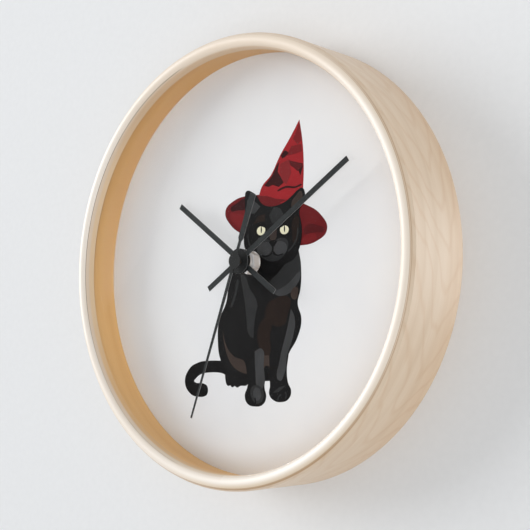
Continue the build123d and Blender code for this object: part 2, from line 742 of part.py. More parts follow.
def quartz_crystal():
    """Cylindrical can lying on the board."""
    x, z = CRYSTAL_PLACE
    lying = Pos(x, inside(BOARD[1] + CRYSTAL_RADIUS), z) * Rot(0, 90, 0)
    return lying * Cylinder(CRYSTAL_RADIUS, CRYSTAL_LENGTH)


def ic_blob():
    """Drop of black resin over the chip."""
    x, z = BLOB_PLACE
    sphere_radius = (BLOB_SPREAD**2 + BLOB_HEIGHT**2) / (2 * BLOB_HEIGHT)
    ball = Pos(x, inside(BOARD[1] + BLOB_HEIGHT) - sphere_radius, z) * Sphere(sphere_radius)
    return ball & layer((BOARD[1], BOARD[1] + 2 * BLOB_HEIGHT), disc(BLOB_SPREAD + 1, BLOB_PLACE))


CONTACT_Y = (inside(3.0), inside(12.5))              # plates at both ends of the battery bay
CONTACT_Z = (CELL_AXIS_Z - 5.0, BAY_TOP - FLOOR)


def positive_contact():
    """Plate at the cell's button, with a strip that runs up to the board."""
    x_range = (INNER - STRIP, INNER)
    contact = block(x_range, CONTACT_Y, CONTACT_Z)
    contact += block(x_range, (inside(7.0), inside(9.2)), (CELL_AXIS_Z, 17.0))
    return contact + block((22.5, INNER), (inside(BOARD[1]), inside(BOARD[1] + STRIP)), (15.0, 17.0))


def negative_contact():
    """Plate with a bowed leaf that presses the cell, and a strip along two walls to the board."""
    left = -INNER
    leaf_span = 8.0
    bow = 1.4
    leaf_low = CELL_AXIS_Z - leaf_span / 2
    leaf_high = CELL_AXIS_Z + leaf_span / 2
    inner_x = left + STRIP
    arc = ThreePointArc((inner_x, leaf_low), (inner_x + bow, CELL_AXIS_Z), (inner_x, leaf_high))
    outer = ThreePointArc((inner_x, leaf_high - 0.8), (inner_x + bow - 0.35, CELL_AXIS_Z),
                          (inner_x, leaf_low + 0.8))
    edges = [arc, Line((inner_x, leaf_high), (inner_x, leaf_high - 0.8)), outer,
             Line((inner_x, leaf_low + 0.8), (inner_x, leaf_low))]
    leaf = layer((5.4, 10.4), make_face(Curve() + edges))
    contact = block((left, inner_x), CONTACT_Y, CONTACT_Z) + leaf
    strip_y = (CONTACT_Y[0], CONTACT_Y[0] + 2.0)
    tab_x = (9.6, 11.0)
    contact += block((left, inner_x), strip_y, (CELL_AXIS_Z, INNER - CORNER))
    contact += block((left + CORNER, tab_x[1]), strip_y, (INNER - STRIP, INNER))
    corner_length = hypot(CORNER, CORNER)
    brace = Pos(left + CORNER / 2 + STRIP / 2, sum(strip_y) / 2, INNER - CORNER / 2 - STRIP / 2)
    contact += brace * Rot(0, -45, 0) * Box(corner_length, 2.0, STRIP)
    contact += block(tab_x, (strip_y[0], inside(BOARD[0])), (INNER - STRIP, INNER))
    return contact + block(tab_x, (inside(BOARD[0] - STRIP), inside(BOARD[0])), (24.0, INNER))


# ---------------------------------------------------------------- battery
CELL_LEFT = -24.6
CELL_RIGHT = CELL_LEFT + CELL_LENGTH
CELL_Y = inside(FLOOR + 0.1) + CELL_RADIUS
CAN_RADIUS = CELL_RADIUS - 0.15      # the sleeve makes up the rest
SLEEVE_INSET = 0.8           # bare can at each end
BUTTON_RADIUS = 2.7
BUTTON_HEIGHT = 1.3


def along_x(radius, x_range, bore=0.0):
    """A cylinder along the cell's axis."""
    length = x_range[1] - x_range[0]
    shape = Cylinder(radius, length)
    if bore:
        shape -= Cylinder(bore, length)
    return Pos((x_range[0] + x_range[1]) / 2, CELL_Y, CELL_AXIS_Z) * Rot(0, 90, 0) * shape


def battery_can():
    """Steel can with rounded ends."""
    can = along_x(CAN_RADIUS, (CELL_LEFT, CELL_RIGHT))
    return fillet(can.edges().filter_by(GeomType.CIRCLE), 0.6)


def battery_sleeve():
    """Printed sleeve round the can."""
    return along_x(CELL_RADIUS, (CELL_LEFT + SLEEVE_INSET, CELL_RIGHT - SLEEVE_INSET), CAN_RADIUS)


def battery_button():
    """Positive button with a rounded rim."""
    button = along_x(BUTTON_RADIUS, (CELL_RIGHT, CELL_RIGHT + BUTTON_HEIGHT))
    rim = button.edges().filter_by(GeomType.CIRCLE).sort_by(Axis.X)[-1]
    return fillet([rim], 0.4)


# ---------------------------------------------------------------- write every piece
SPACER_FRONT = LENS_FRONT + LENS_THICKNESS
NUT_BACK = DIAL_FRONT - WASHER_THICKNESS

save("hoop", hoop())
save("outer_ply", outer_ply())
save("lip_strip", lip_strip())
save("lens", slab(LENS_FRONT, SPACER_FRONT, disc(SEAT_RADIUS)))
save("spacer_ring", slab(SPACER_FRONT, DIAL_FRONT, disc(SEAT_RADIUS, bore=SPACER_BORE)))
save("dial_sheet", slab(DIAL_FRONT, DIAL_BACK, disc(SEAT_RADIUS, bore=BUSH_RADIUS)))
save("backboard", slab(DIAL_BACK, BOARD_BACK, disc(SEAT_RADIUS, bore=BUSH_RADIUS)))
save_group("retaining_points", retaining_points())

save("hanger_block", hanger_block())
save("hanger_plate", hanger_plate())
save_group("hanger_screws", hanger_screws())

save("rubber_gasket", slab(BOARD_BACK, MOVEMENT_FRONT, disc(GASKET_RADIUS, bore=BUSH_RADIUS)))
save("metal_washer", slab(NUT_BACK, DIAL_FRONT, disc(WASHER_RADIUS, bore=BUSH_RADIUS)))
save("hex_nut", hex_nut())
save("centre_bush", centre_bush())

save("movement_case", movement_case())
save("movement_back_cover", movement_back_cover())
save("middle_plate", middle_plate())
save("gear_bridge", gear_bridge())
save("stator", stator())
save("coil_core", coil_core())
save("coil_bobbin", coil_bobbin())
save("coil_winding", coil_winding())
save_group("stator_screws", stator_screws())
save("circuit_board", circuit_board())
save("quartz_crystal", quartz_crystal())
save("ic_blob", ic_blob())
save("positive_contact", positive_contact())
save("negative_contact", negative_contact())

save("second_hand", second_hand())
save("second_collet", second_collet())
save("second_arbor", second_arbor())
save("second_wheel", second_wheel())
save("minute_hand", baton(MINUTE_HAND, MINUTE_TUBE_RADIUS, MINUTE_ANGLE, MINUTE_PLANE))
save("minute_tube", minute_tube())
save("centre_wheel", centre_wheel())
save("hour_hand", baton(HOUR_HAND, HOUR_TUBE_RADIUS, HOUR_ANGLE, HOUR_PLANE))
save("hour_wheel", hour_wheel())
save("motion_wheel", motion_wheel())
save("third_arbor", third_arbor())
save("third_wheel", third_wheel())
save("intermediate_wheel", intermediate_wheel())
save("rotor_pinion", rotor_pinion())
save("rotor_magnet", rotor_magnet())
save("set_knob", set_knob())
save("set_pinion", set_pinion())

save("battery_can", battery_can())
save("battery_sleeve", battery_sleeve())
save("battery_button", battery_button())
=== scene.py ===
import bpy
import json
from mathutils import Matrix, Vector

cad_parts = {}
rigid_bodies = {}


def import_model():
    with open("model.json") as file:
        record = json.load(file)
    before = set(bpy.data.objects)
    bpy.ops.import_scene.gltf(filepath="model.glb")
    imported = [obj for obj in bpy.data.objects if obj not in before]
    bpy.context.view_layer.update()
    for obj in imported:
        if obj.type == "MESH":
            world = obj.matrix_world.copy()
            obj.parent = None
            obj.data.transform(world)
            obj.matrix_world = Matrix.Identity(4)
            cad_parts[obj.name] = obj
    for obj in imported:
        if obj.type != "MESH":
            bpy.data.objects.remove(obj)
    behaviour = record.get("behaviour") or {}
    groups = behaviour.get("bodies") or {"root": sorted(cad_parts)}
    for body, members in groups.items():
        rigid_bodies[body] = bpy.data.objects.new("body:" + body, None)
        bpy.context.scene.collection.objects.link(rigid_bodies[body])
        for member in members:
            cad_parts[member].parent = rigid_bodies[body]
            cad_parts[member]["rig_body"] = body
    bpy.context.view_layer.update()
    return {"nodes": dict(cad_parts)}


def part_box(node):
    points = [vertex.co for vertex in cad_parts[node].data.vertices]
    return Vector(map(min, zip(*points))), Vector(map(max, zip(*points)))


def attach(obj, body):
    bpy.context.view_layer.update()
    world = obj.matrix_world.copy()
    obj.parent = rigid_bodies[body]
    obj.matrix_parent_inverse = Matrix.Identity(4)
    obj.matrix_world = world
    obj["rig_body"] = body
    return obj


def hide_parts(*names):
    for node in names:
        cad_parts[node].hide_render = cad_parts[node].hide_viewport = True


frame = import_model()

import json
from math import atan2, cos, hypot, pi, radians, sin, sqrt

import bmesh
import bpy
from mathutils import Matrix, Vector

# The looks of a round wooden wall clock. The dial faces -Y, the wall is at the +Y end and
# +Z is up. Lengths are metres, except in the picture and the table of edges, which are in
# millimetres.
MM = 0.001
NODES = frame["nodes"]


# ---------------------------------------------------------------- places read from the frame
def radii(node, behind=-1.0):
    """Smallest and largest distance from the hands' axis of a node's points past a depth. The
    default depth lies in front of the whole clock."""
    found = [hypot(v.co.x, v.co.z) for v in NODES[node].data.vertices if v.co.y > behind]
    return min(found), max(found)


CASE_RADIUS = radii("outer_ply")[1]
PLY_RADIUS = radii("outer_ply")[0]
LIP_RADIUS, SEAM_RADIUS = radii("lip_strip")
NOSE_RADIUS = (CASE_RADIUS - LIP_RADIUS) / 2      # section radius of the rounded front edge
NOSE_CENTRE = CASE_RADIUS - NOSE_RADIUS
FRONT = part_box("hoop")[0].y
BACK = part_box("hoop")[1].y
NOSE_Y = FRONT + NOSE_RADIUS
FLANK_RADIUS = NOSE_CENTRE + 0.6 * NOSE_RADIUS    # where the nose turns into its outer flank
LENS_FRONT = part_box("lens")[0].y
LENS_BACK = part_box("lens")[1].y
DIAL_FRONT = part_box("dial_sheet")[0].y
BOARD_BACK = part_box("backboard")[1].y
SPACER_BORE, SPACER_RADIUS = radii("spacer_ring")
REBATE_RADIUS = radii("hoop", BOARD_BACK)[0]


# ---------------------------------------------------------------- materials
SEAM_OPENING = 0.24 * MM     # the glue line on the nose at its widest
ARCH_SPACING = 11 * MM       # half the arc length from one flat-sawn ring to the next
ARCH_SLOPE = 2.0             # how far a ring runs along the grain for each unit across it
ARCH_POINT = 1.5 * MM        # how blunt the point of a ring is
ARCH_WANDER = 40 * MM        # how far a ring strays along the grain
ARCH_MIDDLE = (-5 * MM, 11 * MM)  # depths between which the points of the rings drift
GLUE_HALF_WIDTH = 0.12 * MM  # closed glue lines on the nose
GLUE_BEFORE_PLY = 0.3 * MM   # how far inside the veneer its glue line shows
SLEEVE_BAND_X = 15 * MM      # where the cell's pale band begins
BOSS_RADIUS = 7.2 * MM       # round middle of the minute and hour hands
# the boss's darker tone is painted shade
BOSS_BLEND = 0.4 * MM        # over which the boss's darker tone fades out

# Ranges over which the case changes its tone, most of them for painted shade and painted bounce light: X
# to the right, Y back, Z up, radius outwards.
SIDE_WARM_Y = (-5 * MM, BACK)
SEAM_FADE_X = (-40 * MM, -30 * MM)
SEAM_FADE_Z = (-80 * MM, 0.0)
NOSE_SHADE_LOW_Z = (-115 * MM, -50 * MM)
NOSE_SHADE_HIGH_Z = (60 * MM, 110 * MM)
# the nose's painted shade grows over this range of X less half of Z, towards the lower right
NOSE_SHADE_LOWER_RIGHT = (-10 * MM, 70 * MM)  # X less half of Z
NOSE_SHADE_RADIUS = (NOSE_CENTRE - 0.5 * MM, FLANK_RADIUS)
FLANK_SHADE_RADIUS = (FLANK_RADIUS - 0.25 * MM, FLANK_RADIUS + 0.25 * MM)
LIP_SHADE_LEFT_X = (-100 * MM, -40 * MM)
LIP_BOUNCE_LOW_Z = (-80 * MM, -20 * MM)
LIP_SHADE_HIGH_Z = (50 * MM, 100 * MM)
LIP_WALL_Y = (NOSE_Y - 1.4 * MM, NOSE_Y + 0.2 * MM)
LIP_SHADE_TURN_Y = (NOSE_Y - 2.9 * MM, NOSE_Y - 1.5 * MM)
SPACER_SHADE_Z = (-50 * MM, 110 * MM)


def srgb(red, green, blue):
    """A colour given as it shows on a screen, 0 to 255, made linear."""
    channels = [value / 255 for value in (red, green, blue)]
    return [c / 12.92 if c <= 0.04045 else ((c + 0.055) / 1.055) ** 2.4 for c in channels] + [1.0]


class Paint:
    """A material being made: a Principled shader and the nodes that feed it."""

    def __init__(self, name, **fixed):
        self.material = bpy.data.materials.new(name)
        self.material.use_nodes = True
        self.tree = self.material.node_tree
        self.shader = self.tree.nodes["Principled BSDF"]
        for socket, value in fixed.items():
            self.shader.inputs[socket.replace("_", " ")].default_value = value

    def node(self, kind, inputs, **settings):
        """A new node; inputs go by socket name or number, as a value or as a socket to join."""
        made = self.tree.nodes.new("ShaderNode" + kind)
        for name, value in settings.items():
            setattr(made, name, value)
        for socket, value in inputs.items():
            if isinstance(value, bpy.types.NodeSocket):
                self.tree.links.new(value, made.inputs[socket])
            else:
                made.inputs[socket].default_value = value
        return made

    def math(self, operation, first, second=0.0):
        return self.node("Math", {0: first, 1: second}, operation=operation).outputs[0]

    def place(self):
        """The point's place in the clock's own frame, in metres."""
        return self.node("TexCoord", {}).outputs["Object"]

    def parts(self, vector):
        """The three parts of a vector."""
        return self.node("SeparateXYZ", {0: vector}).outputs

    def axes(self):
        return self.parts(self.place())

    def from_axis(self, x, z):
        """Distance from the hands' axis."""
        squares = self.math("ADD", self.math("MULTIPLY", x, x), self.math("MULTIPLY", z, z))
        return self.math("SQRT", squares)

    def round_place(self):
        """Arc length round the case, depth and radius. The two ends of the arc meet at 6 o'clock."""
        x, y, z = self.axes()
        arc = self.math("MULTIPLY", self.math("ARCTAN2", x, z), CASE_RADIUS)
        return self.node("CombineXYZ", {0: arc, 1: y, 2: self.from_axis(x, z)}).outputs[0]

    def stretched(self, vector, scale):
        return self.node("Mapping", {"Vector": vector, "Scale": scale}).outputs[0]

    def noise(self, vector, scale, detail=3.0, roughness=0.5, distortion=0.0):
        inputs = {"Vector": vector, "Scale": scale, "Detail": detail, "Roughness": roughness,
                  "Distortion": distortion}
        return self.node("TexNoise", inputs).outputs["Fac"]

    def ramp(self, factor, *stops):
        """A colour that runs through the stops, each (place from 0 to 1, colour)."""
        made = self.node("ValToRGB", {"Fac": factor})
        elements = made.color_ramp.elements
        elements[0].position, elements[0].color = stops[0]
        elements[1].position, elements[1].color = stops[-1]
        for position, colour in stops[1:-1]:
            elements.new(position).color = colour
        return made.outputs["Color"]

    def between(self, value, low, high, to_low=0.0, to_high=1.0):
        """value carried smoothly from the range low..high to the range to_low..to_high."""
        inputs = {"Value": value, "From Min": low, "From Max": high, "To Min": to_low, "To Max": to_high}
        return self.node("MapRange", inputs, interpolation_type="SMOOTHSTEP").outputs[0]

    def stripe(self, value, middle, half_width):
        """1 where value lies within half_width of middle, and 0 elsewhere."""
        return self.node("Math", {0: value, 1: middle, 2: half_width}, operation="COMPARE").outputs[0]

    def mix(self, factor, first, second, blend="MIX"):
        inputs = {0: factor, 6: first, 7: second}
        return self.node("Mix", inputs, data_type="RGBA", blend_type=blend).outputs[2]

    def colour(self, socket):
        self.tree.links.new(socket, self.shader.inputs["Base Color"])

    def roughness(self, socket):
        self.tree.links.new(socket, self.shader.inputs["Roughness"])

    def bump(self, height, depth, strength):
        """A relief of at most depth metres."""
        made = self.node("Bump", {"Height": height, "Distance": depth, "Strength": strength})
        self.tree.links.new(made.outputs[0], self.shader.inputs["Normal"])


def maple(name, pale, middle, dark, shaped, gloss=0.3):
    """Lacquered maple bent round the case: long soft streaks and fine fibre along the arc.
    shaped(paint, place, colour) changes the colour by place, for things such as the figure, a glue line
    and painted shade."""
    paint = Paint(name, Coat_Weight=gloss, Coat_Roughness=0.3)
    place = paint.round_place()
    streaks = paint.noise(paint.stretched(place, (5, 120, 120)), 1.0, 4.0, 0.55, 0.5)
    colour = paint.ramp(streaks, (0.3, dark), (0.5, middle), (0.7, pale))
    fibre = paint.noise(paint.stretched(place, (60, 2600, 2600)), 1.0, 2.0, 0.6)
    colour = paint.mix(paint.between(fibre, 0.35, 0.75, 0.10, 0.0), colour, dark, "MULTIPLY")
    paint.colour(shaped(paint, place, colour))
    paint.roughness(paint.between(fibre, 0.3, 0.7, 0.46, 0.36))
    paint.bump(fibre, 0.02 * MM, 0.25)
    return paint.material


def flat_sawn(paint, place):
    """Growth rings of a flat-sawn veneer, 0 to 1: nested points that open out along the arc."""
    arc, depth = paint.parts(place)[:2]
    drift = paint.noise(paint.stretched(place, (7, 0, 0)), 1.0, 3.0, 0.5)
    away = paint.math("SUBTRACT", depth, paint.between(drift, 0.3, 0.7, *ARCH_MIDDLE))
    rounded = paint.math("ADD", paint.math("MULTIPLY", away, away), ARCH_POINT**2)
    reach = paint.math("MULTIPLY", paint.math("SQRT", rounded), ARCH_SLOPE)
    wander = paint.noise(paint.stretched(place, (14, 60, 0)), 1.0, 3.0, 0.5)
    wander = paint.math("MULTIPLY", wander, ARCH_WANDER)
    along = paint.math("ADD", paint.math("ADD", arc, reach), wander)
    ring = paint.math("PINGPONG", along, ARCH_SPACING)
    return paint.between(ring, 0.0, 0.4 * ARCH_SPACING, 1.0, 0.0)


def side_tone(paint, place, colour):
    """The side's figure: faint darker rings, and a warmer tone towards the wall."""
    depth = paint.parts(place)[1]
    colour = paint.mix(paint.between(depth, *SIDE_WARM_Y, 0.0, 0.22), colour, srgb(226, 184, 138))
    rings = paint.math("MULTIPLY", flat_sawn(paint, place), 0.24)
    return paint.mix(rings, colour, srgb(206, 166, 124))


def seam_line(paint, place, colour):
    """The glue line between hoop and lip is dark where it has opened, on the left."""
    line = paint.stripe(paint.parts(place)[2], SEAM_RADIUS, 0.45 * SEAM_OPENING)
    x, _, z = paint.axes()
    opened = paint.between(x, *SEAM_FADE_X, 0.75, 0.0)
    opened = paint.math("MULTIPLY", opened, paint.between(z, *SEAM_FADE_Z, 0.4, 1.0))
    return paint.mix(paint.math("MULTIPLY", line, opened), colour, srgb(112, 84, 58))


def nose_shade_and_glue_lines(paint, place, colour):
    """Painted shade on the nose: its outer curve and flank are darkened a little all round and most at the
    lower right, which faces away from the key light, and the flank is brownest at the bottom. The glue
    lines of the plies show as thin dark lines. The top is painted a little darker too, as painted shade."""
    radius = paint.parts(place)[2]
    x, _, z = paint.axes()
    lower_right = paint.math("SUBTRACT", x, paint.math("MULTIPLY", z, 0.5))
    # painted shade: its strength runs from 0.1 at the upper left to 0.8 at the lower right
    strength = paint.between(lower_right, *NOSE_SHADE_LOWER_RIGHT, 0.1, 0.8)
    shaded = paint.math("MULTIPLY", paint.between(radius, *NOSE_SHADE_RADIUS), strength)
    shaded = paint.math("MULTIPLY", shaded, paint.between(z, *NOSE_SHADE_LOW_Z, 1.0, 0.5))
    # painted shade over the outer curve of the nose
    colour = paint.mix(shaded, colour, srgb(226, 204, 172))
    low = paint.between(z, *NOSE_SHADE_LOW_Z, 1.0, 0.0)
    # painted shade along the flank, brownest at the bottom
    flank_shade_colour = paint.mix(low, srgb(214, 188, 158), srgb(190, 152, 112))
    flank = paint.math("MULTIPLY", paint.between(radius, *FLANK_SHADE_RADIUS), strength)
    colour = paint.mix(flank, colour, flank_shade_colour)
    for glue_line in (FLANK_RADIUS, PLY_RADIUS - GLUE_BEFORE_PLY):
        line = paint.math("MULTIPLY", paint.stripe(radius, glue_line, GLUE_HALF_WIDTH), 0.5)
        colour = paint.mix(line, colour, srgb(168, 128, 88))
    # painted shade: the top of the nose is painted darker and creamier, where less of the key light's
    # highlight falls
    colour = paint.mix(paint.between(z, *NOSE_SHADE_HIGH_Z, 0.0, 0.55), colour, srgb(232, 212, 188))
    return seam_line(paint, place, colour)


def lip_wall_and_shade(paint, place, colour):
    """Painted shade makes the lip a little darker on the left, where it faces away from the key light. Its
    inner wall turns beige; towards the bottom that wall is painted a deeper tan as painted bounce light,
    and at the top a darker tan begins further forward, as painted shade."""
    depth = paint.parts(place)[1]
    x, _, z = paint.axes()
    # painted shade on the left of the lip
    colour = paint.mix(paint.between(x, *LIP_SHADE_LEFT_X, 0.8, 0.0), colour, srgb(228, 207, 184))
    colour = seam_line(paint, place, colour)
    # the inner wall is beige, painted a deeper tan towards the bottom as painted warm light bounced inside
    # the rim
    low = paint.between(z, *LIP_BOUNCE_LOW_Z, 0.8, 0.0)
    wall_and_bounce_colour = paint.mix(low, srgb(238, 210, 172), srgb(236, 190, 128))
    colour = paint.mix(paint.between(depth, *LIP_WALL_Y), colour, wall_and_bounce_colour)
    # painted shade: at the top, where the lip's inner edge faces down, a darker tan begins further forward
    top = paint.between(z, *LIP_SHADE_HIGH_Z, 0.0, 0.85)
    turned_in_shade = paint.math("MULTIPLY", top, paint.between(depth, *LIP_SHADE_TURN_Y))
    return paint.mix(turned_in_shade, colour, srgb(214, 182, 146))


def spacer_top_shade(paint, place, colour):
    """Painted shade: the ring inside the lens is painted a deeper orange towards the top, where it faces
    down.
    """
    height = paint.axes()[2]
    return paint.mix(paint.between(height, *SPACER_SHADE_Z, 0.0, 0.9), colour, srgb(212, 161, 96))


def straight_wood(name, pale, dark):
    """Plain sawn wood with its grain along X."""
    paint = Paint(name, Coat_Weight=0.0)
    place = paint.place()
    streaks = paint.noise(paint.stretched(place, (9, 260, 260)), 1.0, 4.0, 0.6, 0.6)
    fibre = paint.noise(paint.stretched(place, (90, 3000, 3000)), 1.0, 2.0, 0.6)
    colour = paint.ramp(streaks, (0.3, dark), (0.7, pale))
    paint.colour(paint.mix(paint.between(fibre, 0.3, 0.7, 0.3, 0.0), colour, dark))
    paint.roughness(paint.between(fibre, 0.3, 0.7, 0.75, 0.6))
    paint.bump(fibre, 0.05 * MM, 0.5)
    return paint.material


def plastic(name, colour, worn, roughness, grain=900.0):
    """Moulded plastic with a fine spark-eroded skin and faint handling marks."""
    paint = Paint(name)
    place = paint.place()
    skin = paint.noise(place, grain, 2.0, 0.6)
    marks = paint.noise(place, 45.0, 4.0, 0.6)
    paint.colour(paint.mix(paint.between(marks, 0.45, 0.75, 0.0, 0.6), colour, worn))
    paint.roughness(paint.between(marks, 0.3, 0.7, roughness + 0.1, roughness - 0.05))
    paint.bump(skin, 0.012 * MM, 0.6)
    return paint.material


def metal(name, colour, stained, roughness, brushed=(900, 900, 900), bare=1.0):
    """Bare or plated metal: fine working marks and slightly uneven tone. bare under 1 is dulled."""
    paint = Paint(name, Metallic=bare)
    place = paint.place()
    marks = paint.noise(paint.stretched(place, brushed), 1.0, 3.0, 0.6)
    clouds = paint.noise(place, 160.0, 3.0, 0.6)
    paint.colour(paint.mix(paint.between(clouds, 0.4, 0.7, 0.0, 0.7), colour, stained))
    paint.roughness(paint.between(marks, 0.3, 0.7, roughness + 0.12, roughness - 0.06))
    paint.bump(marks, 0.004 * MM, 0.5)
    return paint.material


def hand_paint():
    """Charcoal stoved enamel in a fine mottle. Painted shade darkens the round bosses, and a painted
    highlight makes the stamped edges paler than the faces."""
    paint = Paint("hand_black", Specular_IOR_Level=0.1)
    place = paint.place()
    mottle = paint.noise(place, 420.0, 3.0, 0.6)
    grit = paint.noise(place, 3200.0, 2.0, 0.5)
    enamel = paint.ramp(mottle, (0.3, srgb(43, 46, 47)), (0.7, srgb(50, 53, 54)))
    # painted highlight: faces that don't face front, the stamped edges, are painted paler, as where they
    # catch the light
    facing_front = paint.math("ABSOLUTE", paint.parts(paint.node("TexCoord", {}).outputs["Normal"])[1])
    edge = paint.between(facing_front, 0.3, 0.8, 1.0, 0.0)
    x, _, z = paint.axes()
    # painted shade on the bosses
    boss_shade = paint.between(paint.from_axis(x, z), BOSS_RADIUS - BOSS_BLEND, BOSS_RADIUS, 0.9, 0.0)
    enamel = paint.mix(boss_shade, enamel, srgb(36, 37, 37))
    edge = paint.math("MULTIPLY", edge, paint.math("SUBTRACT", 1.0, boss_shade))
    paint.colour(paint.mix(edge, enamel, srgb(142, 145, 147)))
    paint.roughness(paint.between(mottle, 0.3, 0.7, 0.58, 0.48))
    paint.bump(grit, 0.006 * MM, 0.4)
    return paint.material


def card(name, colour, shade):
    """Matt coated card with a faint tooth."""
    paint = Paint(name, Specular_IOR_Level=0.3)
    place = paint.place()
    tooth = paint.noise(place, 2400.0, 3.0, 0.6)
    clouds = paint.noise(place, 22.0, 3.0, 0.5)
    paint.colour(paint.mix(paint.between(clouds, 0.35, 0.7, 0.0, 1.0), colour, shade))
    paint.roughness(paint.between(tooth, 0.3, 0.7, 0.62, 0.5))
    paint.bump(tooth, 0.008 * MM, 0.4)
    return paint.material


def fibreboard():
    """Brown hardboard: pressed fibres of several sizes."""
    paint = Paint("fibreboard", Specular_IOR_Level=0.25)
    place = paint.place()
    fibres = paint.noise(paint.stretched(place, (1500, 1500, 700)), 1.0, 4.0, 0.7, 1.5)
    flakes = paint.noise(place, 240.0, 4.0, 0.65, 0.8)
    clouds = paint.noise(place, 18.0, 3.0, 0.5)
    base = paint.ramp(flakes, (0.3, srgb(112, 78, 50)), (0.52, srgb(142, 104, 70)),
                      (0.72, srgb(168, 130, 92)))
    base = paint.mix(paint.between(fibres, 0.35, 0.7, 0.35, 0.0), base, srgb(92, 62, 38))
    paint.colour(paint.mix(paint.between(clouds, 0.3, 0.7, 0.0, 0.25), base, srgb(176, 140, 104)))
    paint.roughness(paint.between(fibres, 0.3, 0.7, 0.85, 0.7))
    paint.bump(paint.math("ADD", fibres, flakes), 0.05 * MM, 0.5)
    return paint.material


def clear_acrylic():
    """The flat lens: light goes straight through, and a weak reflection shows at low angles."""
    made = bpy.data.materials.new("lens_clear")
    made.use_nodes = True
    tree = made.node_tree
    tree.nodes.remove(tree.nodes["Principled BSDF"])
    through = tree.nodes.new("ShaderNodeBsdfTransparent")
    gloss = tree.nodes.new("ShaderNodeBsdfGlossy")
    gloss.inputs["Roughness"].default_value = 0.03
    facing = tree.nodes.new("ShaderNodeLayerWeight")
    facing.inputs["Blend"].default_value = 0.5
    power = tree.nodes.new("ShaderNodeMath")
    power.operation = "POWER"
    power.inputs[1].default_value = 5.0
    share = tree.nodes.new("ShaderNodeMath")
    share.operation = "MULTIPLY"
    share.inputs[1].default_value = 0.5
    mix = tree.nodes.new("ShaderNodeMixShader")
    tree.links.new(facing.outputs["Facing"], power.inputs[0])
    tree.links.new(power.outputs[0], share.inputs[0])
    tree.links.new(share.outputs[0], mix.inputs[0])
    tree.links.new(through.outputs[0], mix.inputs[1])
    tree.links.new(gloss.outputs[0], mix.inputs[2])
    tree.links.new(mix.outputs[0], tree.nodes["Material Output"].inputs["Surface"])
    return made


def ink(name, colour, shade):
    """Printed ink: an even colour that breaks up into a fine screen and soft patches."""
    paint = Paint(name, Specular_IOR_Level=0.06)
    place = paint.place()
    screen = paint.noise(place, 1500.0, 2.0, 0.6)
    wash = paint.noise(place, 90.0, 3.0, 0.55)
    colour = paint.mix(paint.between(wash, 0.35, 0.7, 0.0, 0.8), colour, shade)
    paint.colour(paint.mix(paint.between(screen, 0.3, 0.7, 0.0, 0.25), colour, shade))
    paint.roughness(paint.between(screen, 0.3, 0.7, 0.6, 0.48))
    return paint.material


def sleeve():
    """The cell's plastic sleeve: plain green with a pale band at one end, with a film's sheen."""
    paint = Paint("cell_sleeve", Coat_Weight=0.5, Coat_Roughness=0.2)
    x = paint.axes()[0]
    film = paint.noise(paint.stretched(paint.place(), (60, 900, 900)), 1.0, 2.0, 0.5)
    green = paint.ramp(film, (0.3, srgb(74, 122, 92)), (0.7, srgb(84, 134, 102)))
    pale = paint.ramp(film, (0.3, srgb(214, 218, 208)), (0.7, srgb(224, 228, 218)))
    paint.colour(paint.mix(paint.math("GREATER_THAN", x, SLEEVE_BAND_X), green, pale))
    paint.roughness(paint.between(film, 0.3, 0.7, 0.4, 0.3))
    return paint.material


def winding():
    """Enamelled copper wire: the turns show as fine ridges along the coil."""
    paint = Paint("copper_wire", Metallic=0.9)
    place = paint.place()
    turns = paint.node("TexWave", {"Vector": place, "Scale": 1600.0, "Distortion": 1.5},
                       wave_type="BANDS", bands_direction="Z").outputs["Fac"]
    paint.colour(paint.ramp(turns, (0.2, srgb(128, 62, 30)), (0.8, srgb(196, 112, 62))))
    paint.roughness(paint.between(turns, 0.2, 0.8, 0.5, 0.32))
    paint.bump(turns, 0.05 * MM, 0.8)
    return paint.material


